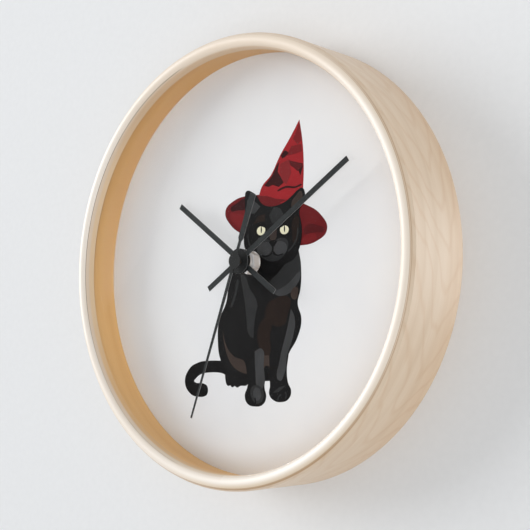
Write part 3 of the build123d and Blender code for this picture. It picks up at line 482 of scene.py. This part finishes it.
LOOKS = {
    "maple_core": maple("maple_core", srgb(252, 246, 237), srgb(249, 240, 229), srgb(243, 230, 213),
                        nose_shade_and_glue_lines),
    "maple_veneer": maple("maple_veneer", srgb(231, 211, 187), srgb(227, 205, 179),
                          srgb(221, 197, 169), side_tone, 0.12),
    "maple_lip": maple("maple_lip", srgb(250, 240, 226), srgb(244, 231, 214), srgb(233, 216, 195),
                       lip_wall_and_shade),
    "spacer_wood": maple("spacer_wood", srgb(252, 208, 142), srgb(247, 201, 134), srgb(240, 190, 122),
                         spacer_top_shade),
    "lens_clear": clear_acrylic(),
    "dial_print": card("dial_print", srgb(237, 239, 241), srgb(234, 236, 239)),
    "fibreboard": fibreboard(),
    "hanger_wood": straight_wood("hanger_wood", srgb(214, 178, 132), srgb(178, 138, 94)),
    "zinc_steel": metal("zinc_steel", srgb(186, 188, 190), srgb(160, 163, 168), 0.34, (300, 300, 2400)),
    "nickel": metal("nickel", srgb(255, 255, 255), srgb(252, 250, 250), 0.4, (2400, 300, 300), 0.02),
    "brass": metal("brass", srgb(214, 176, 98), srgb(186, 146, 74), 0.28),
    "black_rubber": plastic("black_rubber", srgb(26, 26, 27), srgb(40, 40, 41), 0.7),
    "black_plastic": plastic("black_plastic", srgb(30, 31, 32), srgb(38, 39, 40), 0.42),
    "white_plastic": plastic("white_plastic", srgb(226, 224, 216), srgb(208, 205, 196), 0.4),
    "hand_black": hand_paint(),
    "soft_iron": metal("soft_iron", srgb(150, 150, 152), srgb(118, 116, 114), 0.4),
    "magnet": metal("magnet", srgb(92, 92, 96), srgb(74, 74, 78), 0.45),
    "copper_wire": winding(),
    "bobbin_plastic": plastic("bobbin_plastic", srgb(214, 206, 190), srgb(196, 188, 170), 0.45),
    "board_green": plastic("board_green", srgb(34, 88, 52), srgb(46, 104, 62), 0.35),
    "resin_black": plastic("resin_black", srgb(16, 16, 17), srgb(26, 26, 28), 0.22, 300.0),
    "contact_steel": metal("contact_steel", srgb(206, 206, 206), srgb(176, 178, 182), 0.22,
                           (300, 2400, 300)),
    "knob_plastic": plastic("knob_plastic", srgb(38, 39, 40), srgb(50, 51, 52), 0.38),
    "cell_steel": metal("cell_steel", srgb(208, 208, 208), srgb(184, 186, 190), 0.2),
    "cell_sleeve": sleeve(),
}


# ---------------------------------------------------------------- helpers for pieces
SMOOTH_ANGLE = radians(35)   # faces that meet at less than this are shaded as one surface
BEVEL_ANGLE = radians(30)    # edges sharper than this are rounded
FLAT_ANGLE = radians(0.5)    # faces that meet at less than this are merged into one
WELD = 1e-6
SEGMENTS = 384               # steps of a turned ring


def slot_of(cad):
    """The name of a CAD node's material slot."""
    return cad.material_slots[0].material.name.split(".")[0]


def new_piece(name, mesh, node):
    """A mesh object that moves with a CAD node's body."""
    piece = bpy.data.objects.new(name, mesh)
    bpy.context.scene.collection.objects.link(piece)
    mesh.shade_smooth()
    mesh.set_sharp_from_angle(angle=SMOOTH_ANGLE)
    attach(piece, NODES[node]["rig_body"])
    return piece


def stand_for(piece, node):
    """The piece takes a CAD node's slot and look, and shows in its place."""
    slot = slot_of(NODES[node])
    piece.data.materials.append(LOOKS[slot])
    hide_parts(node)


def soften(piece, width):
    """Rounds a piece's sharp edges so that they catch the light."""
    bevel = piece.modifiers.new("edges", "BEVEL")
    bevel.width = width
    bevel.segments = 2
    bevel.limit_method = "ANGLE"
    bevel.angle_limit = BEVEL_ANGLE
    normals = piece.modifiers.new("flat_faces", "WEIGHTED_NORMAL")
    normals.mode = "FACE_AREA"
    normals.weight = 100
    normals.keep_sharp = True


def eased(node, width):
    """A copy of a CAD node with its sharp edges rounded, standing for the node."""
    mesh = NODES[node].data.copy()
    mesh.materials.clear()
    work = bmesh.new()
    work.from_mesh(mesh)
    bmesh.ops.remove_doubles(work, verts=work.verts, dist=WELD)
    bmesh.ops.dissolve_limit(work, angle_limit=FLAT_ANGLE, verts=work.verts, edges=work.edges)
    work.to_mesh(mesh)
    work.free()
    piece = new_piece(node + "_eased", mesh, node)
    soften(piece, width)
    stand_for(piece, node)


def lathe(name, node, profile, edge=0.0):
    """A ring turned about the hands' axis. profile is a closed outline of (radius, y), or a
    function that gives one for each angle, anticlockwise from +X as seen from the front."""
    work = bmesh.new()
    rings = []
    for step in range(SEGMENTS):
        angle = 2 * pi * step / SEGMENTS
        outline = profile(angle) if callable(profile) else profile
        rings.append([work.verts.new((r * cos(angle), y, r * sin(angle))) for r, y in outline])
    for ring, following in zip(rings, rings[1:] + rings[:1]):
        for i in range(len(ring)):
            j = (i + 1) % len(ring)
            work.faces.new((ring[i], ring[j], following[j], following[i]))
    bmesh.ops.recalc_face_normals(work, faces=work.faces)
    mesh = bpy.data.meshes.new(name)
    work.to_mesh(mesh)
    work.free()
    piece = new_piece(name, mesh, node)
    if edge:
        soften(piece, edge)
    stand_for(piece, node)


def nose_turn(radius):
    """Where a radius lies on the rounded front edge, as an angle out from its foremost point."""
    out = radius - NOSE_CENTRE
    return atan2(out, sqrt(max(0.0, NOSE_RADIUS**2 - out**2)))


def nose_points(first, last, count):
    """Points of the rounded front edge from one radius to another."""
    turn_first, turn_last = nose_turn(first), nose_turn(last)
    points = []
    for step in range(count + 1):
        turn = turn_first + (turn_last - turn_first) * step / count
        points.append((NOSE_CENTRE + NOSE_RADIUS * sin(turn), NOSE_Y - NOSE_RADIUS * cos(turn)))
    return points


# ---------------------------------------------------------------- wooden case
SEAM_MIDDLE = radians(181)   # it shows from the upper left down to the lower left
SEAM_HALF = radians(76)
SEAM_END = radians(4)        # over which it closes at either end
SEAM_CLOSED = 0.05           # its width elsewhere, as a share of the widest
SEAM_DEPTH = 3.0             # depth of the open glue line in half widths
HOOP_STEPS, LIP_STEPS, PLY_STEPS = 22, 16, 6    # points on the curve of the nose
PLY_FRONT_EDGE = 0.12 * MM   # small bevels of the veneer
PLY_BACK_EDGE = 0.3 * MM
SPACER_EDGE = 0.15 * MM


def seam_gap(angle):
    """Half width of the open glue line at an angle round the case."""
    away = abs((angle - SEAM_MIDDLE + pi) % (2 * pi) - pi)
    shown = min(1.0, max(0.0, (SEAM_HALF - away) / SEAM_END)) * (0.7 + 0.3 * sin(angle))
    return SEAM_OPENING / 2 * (SEAM_CLOSED + (1 - SEAM_CLOSED) * shown)


def hoop_outline(angle):
    gap = seam_gap(angle)
    nose = nose_points(SEAM_RADIUS + gap, PLY_RADIUS, HOOP_STEPS)
    return ([(SEAM_RADIUS, nose[0][1] + SEAM_DEPTH * gap)] + nose
            + [(PLY_RADIUS, BACK), (REBATE_RADIUS, BACK), (REBATE_RADIUS, LENS_FRONT),
               (SEAM_RADIUS, LENS_FRONT)])


def lip_outline(angle):
    gap = seam_gap(angle)
    nose = nose_points(LIP_RADIUS, SEAM_RADIUS - gap, LIP_STEPS)
    return nose + [(SEAM_RADIUS, nose[-1][1] + SEAM_DEPTH * gap), (SEAM_RADIUS, LENS_FRONT),
                   (LIP_RADIUS, LENS_FRONT)]


def ply_outline():
    nose = nose_points(PLY_RADIUS, CASE_RADIUS - PLY_FRONT_EDGE, PLY_STEPS)
    return nose + [(CASE_RADIUS, nose[-1][1] + PLY_FRONT_EDGE), (CASE_RADIUS, BACK - PLY_BACK_EDGE),
                   (CASE_RADIUS - PLY_BACK_EDGE, BACK), (PLY_RADIUS, BACK)]


def case():
    lathe("hoop_turned", "hoop", hoop_outline)
    lathe("lip_turned", "lip_strip", lip_outline)
    lathe("veneer_turned", "outer_ply", ply_outline())
    spacer = [(SPACER_BORE, LENS_BACK), (SPACER_RADIUS, LENS_BACK), (SPACER_RADIUS, DIAL_FRONT),
              (SPACER_BORE, DIAL_FRONT)]
    lathe("spacer_turned", "spacer_ring", spacer, SPACER_EDGE)


# ---------------------------------------------------------------- printed picture
# A sitting cat in a pointed hat, drawn for this part. Coordinates are millimetres on the dial.
INK_LAYER = 0.003 * MM
CURVE_STEPS = 6              # straight steps between two knots of an outline


def tilted(centre, x, z, tilt):
    """A point x across and z up from a centre, turned about it by tilt degrees."""
    turn = radians(tilt)
    return (centre[0] + x * cos(turn) - z * sin(turn), centre[1] + x * sin(turn) + z * cos(turn))


def ellipse(centre_x, centre_z, half_width, half_height, tilt=0.0, knots=8):
    """A closed outline of smooth knots."""
    points = []
    for step in range(knots):
        turn = 2 * pi * step / knots
        x, z = half_width * cos(turn), half_height * sin(turn)
        points.append(tilted((centre_x, centre_z), x, z, tilt))
    return points


def ribbon(*spine):
    """The outline of a tapering stroke whose spine is (x, z, half width)."""
    left, right = [], []
    for i, (x, z, half) in enumerate(spine):
        before = spine[max(i - 1, 0)]
        after = spine[min(i + 1, len(spine) - 1)]
        turn = atan2(after[1] - before[1], after[0] - before[0])
        left.append((x - half * sin(turn), z + half * cos(turn)))
        right.append((x + half * sin(turn), z - half * cos(turn)))
    return left + right[::-1]


def corner(x, z):
    """A knot where the outline turns sharply."""
    return (x, z, "corner")


# each ink's colour and its shade
INK_TONES = {
    "ink_black": ((17, 17, 18), (22, 22, 23)),
    "ink_soot": ((11, 11, 12), (15, 15, 16)),
    "ink_slate": ((42, 43, 44), (49, 50, 51)),
    "ink_ash": ((58, 59, 60), (68, 69, 71)),
    "ink_umber": ((33, 24, 20), (41, 30, 25)),
    "ink_taupe": ((58, 49, 45), (68, 57, 52)),
    "ink_scarlet": ((132, 38, 42), (124, 36, 39)),
    "ink_red": ((160, 36, 42), (150, 33, 39)),
    "ink_ruby": ((124, 31, 35), (116, 29, 33)),
    "ink_wine": ((110, 26, 30), (102, 25, 29)),
    "ink_garnet": ((91, 24, 27), (83, 22, 26)),
    "ink_plum": ((56, 18, 20), (49, 16, 18)),
    "ink_eye": ((247, 244, 215), (238, 233, 198)),
}
INKS = {name: ink(name, srgb(*colour), srgb(*shade)) for name, (colour, shade) in INK_TONES.items()}

BRIM_CENTRE = (16.5, 22.6)
BRIM_HALF_WIDTH = 38.4
BRIM_HALF_HEIGHT = 13.4
BRIM_TILT = -12.6            # degrees


def on_brim(*places):
    """An outline given as fractions of the brim's half width and half height."""
    return [tilted(BRIM_CENTRE, across * BRIM_HALF_WIDTH, up * BRIM_HALF_HEIGHT, BRIM_TILT)
            for across, up in places]


def facets(*corners):
    """A straight-edged outline."""
    return [corner(x, z) for x, z in corners]


def brim_tail_and_foot():
    tail = ribbon((-15, -59, 4.4), (-24, -58.4, 3.5), (-33, -58.3, 3.4), (-41.5, -59.4, 3.6),
                  (-47.6, -62.8, 3.9), (-49.6, -67.2, 3.9), (-46.4, -71, 3.9), (-41.4, -71.8, 4.0),
                  (-37.4, -71.9, 3.6), (-35, -72, 2.2))
    hind_foot = [(-19.7, -60.9), (-20.4, -66.2), (-18.6, -69.2), corner(-16.6, -68.9), (-15.2, -70),
                 corner(-13.1, -69.2), (-11.4, -70.1), (-8.9, -69.2), (-3.3, -68.2), (-3, -60)]
    return [
        ("ink_wine", ellipse(*BRIM_CENTRE, BRIM_HALF_WIDTH, BRIM_HALF_HEIGHT, BRIM_TILT, 12)),
        ("ink_plum", on_brim((-0.9, 0.12), (-0.8, 0.42), (-0.6, 0.66), (-0.58, 0.3), (-0.74, 0.14))),
        ("ink_ruby", on_brim((-0.9, -0.1), (-0.74, -0.02), (-0.6, -0.08), (-0.6, -0.56), (-0.76, -0.46))),
        ("ink_garnet", on_brim((0.6, -0.04), (0.84, 0.1), (0.95, -0.04), (0.8, -0.2), (0.6, -0.3))),
        ("ink_ruby", on_brim((0.6, -0.46), (0.84, -0.38), (0.76, -0.54), (0.6, -0.7))),
        ("ink_soot", tail),
        ("ink_black", hind_foot),
    ]


def hat_cone():
    cone = [corner(35, 76.6), (37.2, 64), (38, 50), corner(37.4, 36), (30, 32.4), (18, 32.2),
            corner(5.2, 37.6), (7.6, 42.6), (14, 48), (21, 58.5), (28.4, 67.6)]
    return [
        ("ink_red", cone),
        ("ink_ruby", facets((30.4, 66.4), (33.2, 71.2), (34.9, 75.6), (36.2, 70), (36.8, 64.8),
                            (33.6, 62.8))),
        ("ink_ruby", facets((25.6, 57.5), (29.1, 62.5), (36.4, 62.9), (37, 58.7), (32.6, 57.9))),
        ("ink_plum", facets((9, 42.6), (14.6, 47.2), (18.5, 53.2), (20.4, 55), (19.2, 49.4), (21.4, 46.4),
                            (23.6, 42.8), (20, 40.8), (15.4, 42.4), (12.4, 41.6))),
        ("ink_plum", facets((21.4, 58.2), (24, 60.8), (25.4, 60.4), (27.4, 59), (24.6, 57),
                            (22.6, 56.4))),
        ("ink_garnet", facets((26.9, 55), (37.5, 51.8), (36.4, 48.7), (33.4, 48.1), (31.2, 50),
                              (28.6, 51.7))),
        ("ink_plum", facets((37.7, 51), (35.6, 45.4), (34.2, 48.4))),
        ("ink_scarlet", facets((21, 53.6), (27.4, 55.4), (29.1, 47.6), (25.5, 41.6), (23.2, 43.4),
                               (20.6, 48.7))),
        ("ink_plum", ribbon((19, 38.6, 0.2), (25, 40.2, 0.6), (31.6, 39.4, 0.5), (36.4, 40.4, 0.2))),
        ("ink_wine", facets((5.4, 37.4), (7.6, 33.2), (12, 31.6), (20, 31.6), (26.2, 33),
                            (18, 34.4), (11.3, 36.6))),
    ]


def body_and_legs():
    body = [(-3, 9), (-9.5, 3.5), (-15.9, -6), (-18.6, -15), (-20, -21.6), (-25.6, -32),
            (-26.6, -43), (-24.6, -54), (-19, -61.5), (-9, -65.6), (6, -66.4), (20, -64),
            (24.4, -58), (27, -51.5), (33, -43), (36, -33), (33.4, -24), (35.3, -17), (36, -8),
            (34.8, 2), (31, 11), (22, 16), (5, 16)]
    fore_left = [(-3, -44), (-2.4, -52), (-2.2, -62), (-3.6, -70), (-5.4, -74.6), (-3.6, -78.8),
                 (2, -80.4), (8.4, -79), (10.6, -75), (9.4, -70), (9.8, -60), (8.6, -50), (7, -44)]
    fore_right = [(13, -44), (12.6, -52), (12.8, -62), (13.4, -69), (12.8, -73.4), (15.4, -76.4),
                  (21.6, -77.6), (27, -75.6), (28.6, -71.4), (26.4, -67), (25.6, -60), (26.8, -52),
                  (27, -44)]
    return [
        ("ink_black", body), ("ink_black", fore_left), ("ink_black", fore_right),
        ("ink_soot", [(-2, -5), (7, -6.4), (17, -6.2), (27, -1), (24, -9), (15, -17), (5, -15)]),
        ("ink_slate", [(27.6, 0.4), (33, 3.4), (35, 0.6), (35.6, -6.7), (35, -9.4), (32.3, -11.8),
                       (25.4, -17), (18.4, -19), (12, -14.2), (14.4, -10.4), (18.4, -7.7),
                       (22.8, -3.9)]),
        ("ink_ash", [corner(35.6, -6.6), (35.2, -10.7), (33.2, -13.8), (28.9, -17.8), (22.8, -19.8),
                     (18.2, -19.2), corner(12.6, -14.6), (17.5, -16.4), (23.7, -14.7),
                     (28.9, -11.6), (33.2, -8)]),
        ("ink_slate", [corner(-9, -6.1), (-6.2, -6.6), (-1.5, -14.8), (4, -23.2), (2.6, -29.9),
                       (1.4, -36.6), corner(1.3, -42.7), (-2, -41), (-4.3, -31), (-5.4, -22.8),
                       (-7.4, -14)]),
        ("ink_slate", ribbon((-16.4, -25, 0.3), (-12.8, -17, 0.8), (-10.8, -9, 0.4))),
        ("ink_taupe", [corner(-23, -37), (-20, -46), (-13.8, -52.6), (-6, -55.4),
                       corner(-3.6, -62.6), (-9.6, -61), (-16.6, -56), (-21, -47)]),
        ("ink_umber", [(11.2, -24.8), (15.7, -21.6), (28, -21.4), (28.2, -25.4), (26.4, -29.8),
                       (24.2, -35.2), (15.2, -35.6), (10.4, -32)]),
        ("ink_taupe", [(29, -17.4), (33.2, -15.6), (33.6, -19.4), (32.2, -22), (29.4, -21.4)]),
        ("ink_umber", [(9.2, -31.6), (14.6, -34.8), (13.4, -40.9), (12.6, -52.3), (8.3, -52.2)]),
        ("ink_taupe", facets((8.3, -52.2), (12.9, -52.2), (13.1, -58.9), (8.7, -58.9))),
        ("ink_soot", facets((9.8, -58), (12.6, -58), (12.6, -66), (9.8, -66))),
        ("ink_ash", [corner(28.6, -27), (31.4, -32), (30.2, -42), (26, -52), (24, -62), (20.2, -66),
                     (20.8, -54), (24.6, -42), (27, -34)]),
        ("ink_ash", [corner(2, -50), (7.6, -48.6), (8.8, -58), (8.4, -70), (5.6, -71), (2.6, -60)]),
        ("ink_slate", [(-1, -71), (3, -68.6), (8, -71), (8.4, -76), (4, -78.8), (0, -76)]),
        ("ink_ash", [(1.4, -71.4), (4.4, -70), (6.8, -73), (5.6, -76.6), (2.8, -77)]),
        ("ink_slate", facets((15.4, -72.6), (20, -69.6), (25, -68.4), (22, -70.8), (19, -72.4))),
        ("ink_soot", ribbon((2.2, -80, 0.2), (2.8, -77.4, 0.4), (2.2, -75.6, 0.2))),
        ("ink_slate", ribbon((19, -77, 0.2), (19.8, -74.8, 0.4), (21.6, -73.4, 0.2))),
        ("ink_slate", ribbon((24.6, -75.8, 0.2), (25.2, -73.6, 0.3), (24.4, -72, 0.2))),
    ]


def head_and_face():
    head = [(-6.4, 15), (-5.9, 24), (-5.4, 32.6), (-5.5, 37.6), (-4.8, 40.6), (-3, 41.2),
            (-0.6, 40.3), (3, 38), (7, 33), (11, 31), (18, 30.5), (24.3, 32), (29.8, 35),
            (34, 37.8), (37, 38.4), (38.8, 34.8), (37.8, 30.6), (35.3, 27.4), (34.7, 24.8),
            (35.6, 21.4), (36.6, 15.4), (36, 9.7), (34.6, 5.4), (32, 1), (26, -2), (20, -3),
            (12, -3), (3, 1.6), (-5, 7.6)]
    muzzle = [(3.4, 10), (4.6, 5.4), (8.6, 1.6), (15.4, -0.4), (22, 1), (26.2, 5.6), (26.6, 10),
              (22, 12.4), (16, 11), (8.6, 12.6)]
    return [
        ("ink_black", head),
        ("ink_ash", facets((-4.4, 28), (-3.6, 36), (0.6, 35.6), (6.4, 31.2), (2, 27.6))),
        ("ink_taupe", [(29.8, 28.2), (29.4, 31.4), (32.4, 34.7), (36, 36.8), (37.2, 34), (34.7, 30.2)]),
        ("ink_slate", facets((12.8, 25.6), (16.4, 30), (21, 28.8), (24.6, 23.4), (20.6, 19), (15, 21))),
        ("ink_umber", facets((1, 21.6), (4.6, 26), (10, 26.6), (9.8, 22.6), (5.4, 22.4))),
        ("ink_umber", [(30.4, 22), (33, 23.6), (34.4, 16), (31.4, 8.6), (29.8, 14)]),
        ("ink_soot", ellipse(7, 17.4, 4.7, 4.0, 8)),
        ("ink_soot", ellipse(24.3, 16.4, 4.7, 3.9, -8)),
        ("ink_slate", ribbon((-3.2, 16, 0.2), (-2.2, 11, 0.5), (0.6, 7.4, 0.4), (3, 5.8, 0.2))),
        ("ink_slate", ribbon((33.8, 17, 0.2), (33, 11.4, 0.5), (29.6, 6.6, 0.5), (26.6, 4.4, 0.2))),
        ("ink_slate", muzzle),
        ("ink_ash", ellipse(9.5, 6.9, 5.6, 3.8, 10)),
        ("ink_ash", ellipse(21, 6.7, 5.2, 3.8, -10)),
        ("ink_taupe", facets((13.4, 18), (18.6, 17.8), (18.4, 12.8), (16.8, 10.8), (14.4, 10.8),
                             (13.2, 13))),
        ("ink_eye", ellipse(6.9, 17.5, 3.15, 2.6, 8)),
        ("ink_eye", ellipse(24.1, 16.6, 3.15, 2.55, -8)),
        ("ink_soot", ribbon((3.4, 19.4, 0.3), (6.4, 20.6, 0.7), (10.8, 19.8, 0.6))),
        ("ink_soot", ribbon((20.6, 18.9, 0.6), (24.6, 19.6, 0.7), (28, 18.2, 0.3))),
        ("ink_soot", ellipse(7.1, 18, 0.45, 1.9)),
        ("ink_soot", ellipse(24.2, 17.1, 0.45, 1.9)),
        ("ink_soot", facets((12.6, 10.6), (14.4, 11.4), (17.2, 11.4), (19, 10.6), (16.6, 7.8),
                            (15, 7.8))),
        ("ink_black", ribbon((15.6, 8, 0.3), (15.3, 5, 0.45), (12.4, 2.9, 0.35), (7.6, 3.3, 0.15))),
        ("ink_black", ribbon((15.6, 5, 0.35), (18.4, 2.9, 0.35), (23.2, 3.3, 0.15))),
    ]


# painted in this order, each shape lying a hair above the one before
PICTURE = brim_tail_and_foot() + hat_cone() + body_and_legs() + head_and_face()


def picture():
    """The print as thin closed patches of ink on the dial."""
    work = bmesh.new()
    mesh = bpy.data.meshes.new("dial_picture")
    for material in INKS.values():
        mesh.materials.append(material)
    names = list(INKS)
    for level, (name, outline) in enumerate(PICTURE, start=1):
        add_patch(work, outline, level * INK_LAYER, names.index(name))
    bmesh.ops.transform(work, matrix=Matrix.Rotation(radians(90), 4, "X"), verts=work.verts)
    bmesh.ops.translate(work, vec=Vector((0, DIAL_FRONT, 0)), verts=work.verts)
    work.to_mesh(mesh)
    work.free()
    piece = bpy.data.objects.new("dial_picture", mesh)
    bpy.context.scene.collection.objects.link(piece)
    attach(piece, "case")


def add_patch(work, outline, height, index):
    """Adds one closed patch of ink, drawn in X and Y and standing up along Z."""
    curve = bpy.data.curves.new("patch", "CURVE")
    curve.dimensions = "2D"
    curve.fill_mode = "BOTH"
    curve.extrude = height / 2
    curve.resolution_u = CURVE_STEPS
    spline = curve.splines.new("BEZIER")
    spline.bezier_points.add(len(outline) - 1)
    spline.use_cyclic_u = True
    for knot, point in zip(spline.bezier_points, outline):
        knot.co = (point[0] * MM, point[1] * MM, height / 2)
        kind = "VECTOR" if len(point) == 3 else "AUTO"
        knot.handle_left_type = knot.handle_right_type = kind
    shape = bpy.data.objects.new("patch", curve)
    bpy.context.scene.collection.objects.link(shape)
    bpy.context.view_layer.update()
    solid = bpy.data.meshes.new_from_object(shape.evaluated_get(bpy.context.evaluated_depsgraph_get()))
    for face in solid.polygons:
        face.material_index = index
    work.from_mesh(solid)
    bpy.data.objects.remove(shape)
    bpy.data.curves.remove(curve)
    bpy.data.meshes.remove(solid)


# ---------------------------------------------------------------- carried-over pieces
# widths of the rounded edges in millimetres
EASED = {
    "second_hand": 0.06, "minute_hand": 0.08, "hour_hand": 0.08, "hex_nut": 0.12, "metal_washer": 0.08,
    "movement_case": 0.12, "movement_back_cover": 0.15, "set_knob": 0.12, "hanger_plate": 0.12,
    "hanger_screws": 0.08, "retaining_points": 0.06, "hanger_block": 0.3,
}


def carried_pieces():
    """Every other CAD node keeps its shape, with rounded edges where they show."""
    for node, width in EASED.items():
        eased(node, width * MM)
    for node in NODES.values():
        if not node.hide_render:
            node.material_slots[0].material = LOOKS[slot_of(node)]


# ---------------------------------------------------------------- stage, light and camera
FLOOR_DROP = 1.4             # from the clock's middle down to the floor
STAGE_REACH = 2.2            # how far wall and floor run each way
WALL_GAP = 0.2 * MM          # between the clock's back and the wall
KEY_FROM = (-2.0, -1.0, 0.55)
FILL_FROM = (0.7, -1.0, -0.38)
REAR_FROM = (0.3, 1.0, 0.05)
ROOM_LIGHT = 0.56
CAMERA_AT = (0.41464, -0.45119, -0.05944)
CAMERA_AIM = (-0.66273, 0.74295, 0.09397)
FOCAL_LENGTH = 74.52         # millimetres on a sensor 36 mm wide
SENSOR_WIDTH = 36


def sheet(name, corners, material):
    mesh = bpy.data.meshes.new(name)
    mesh.from_pydata(corners, [], [(0, 1, 2, 3)])
    mesh.materials.append(material)
    made = bpy.data.objects.new(name, mesh)
    bpy.context.scene.collection.objects.link(made)


def wall_paint():
    """Plain matt wall that shows only from its front, so that the clock's back can be seen."""
    paint = Paint("wall_paint", Roughness=0.9, Specular_IOR_Level=0.1)
    stipple = paint.noise(paint.place(), 260.0, 2.0, 0.5)
    paint.colour(paint.ramp(stipple, (0.3, srgb(234, 236, 238)), (0.7, srgb(236, 238, 240))))
    tree = paint.tree
    clear = tree.nodes.new("ShaderNodeBsdfTransparent")
    from_behind = tree.nodes.new("ShaderNodeNewGeometry").outputs["Backfacing"]
    to_lamp = tree.nodes.new("ShaderNodeLightPath").outputs["Is Shadow Ray"]
    either = paint.math("MAXIMUM", from_behind, to_lamp)
    mix = tree.nodes.new("ShaderNodeMixShader")
    tree.links.new(either, mix.inputs[0])
    tree.links.new(paint.shader.outputs[0], mix.inputs[1])
    tree.links.new(clear.outputs[0], mix.inputs[2])
    tree.links.new(mix.outputs[0], tree.nodes["Material Output"].inputs["Surface"])
    return paint.material


def floor_paint():
    paint = Paint("floor_paint", Specular_IOR_Level=0.2)
    stipple = paint.noise(paint.place(), 120.0, 3.0, 0.5)
    paint.colour(paint.ramp(stipple, (0.3, srgb(226, 226, 226)), (0.7, srgb(232, 232, 232))))
    paint.roughness(paint.between(stipple, 0.3, 0.7, 0.9, 0.8))
    return paint.material


def stage():
    wall_y = BACK + WALL_GAP
    left, right, low, high = -STAGE_REACH, STAGE_REACH, -FLOOR_DROP, STAGE_REACH
    sheet("wall", [(left, wall_y, low), (right, wall_y, low), (right, wall_y, high), (left, wall_y, high)],
          wall_paint())
    near, far = -STAGE_REACH, STAGE_REACH
    sheet("floor", [(left, near, low), (right, near, low), (right, far, low), (left, far, low)],
          floor_paint())


def lamp(name, direction, energy, spread):
    """A far lamp that shines on the clock's centre from a direction. spread is in degrees."""
    light = bpy.data.lights.new(name, "SUN")
    light.energy = energy
    light.angle = radians(spread)
    made = bpy.data.objects.new(name, light)
    made.location = Vector(direction).normalized()
    made.rotation_euler = (-made.location).to_track_quat("-Z", "Y").to_euler()
    bpy.context.scene.collection.objects.link(made)


def lights():
    """Soft even room light, a soft key from the upper left, a weaker fill from the lower right
    and a lamp behind the wall that lights the clock's back."""
    lamp("key", KEY_FROM, 1.6, 34)
    lamp("fill", FILL_FROM, 0.75, 34)
    lamp("rear", REAR_FROM, 1.0, 30)
    world = bpy.data.worlds.new("studio")
    world.use_nodes = True
    world.node_tree.nodes["Background"].inputs["Color"].default_value = (1, 1, 1, 1)
    world.node_tree.nodes["Background"].inputs["Strength"].default_value = ROOM_LIGHT
    bpy.context.scene.world = world
    bpy.context.scene.view_settings.view_transform = "Standard"


def camera():
    lens = bpy.data.cameras.new("camera")
    lens.sensor_width = SENSOR_WIDTH
    lens.lens = FOCAL_LENGTH
    made = bpy.data.objects.new("camera", lens)
    made.location = CAMERA_AT
    made.rotation_euler = Vector(CAMERA_AIM).normalized().to_track_quat("-Z", "Y").to_euler()
    bpy.context.scene.collection.objects.link(made)
    bpy.context.scene.camera = made


camera()
case()
picture()
carried_pieces()
stage()
lights()
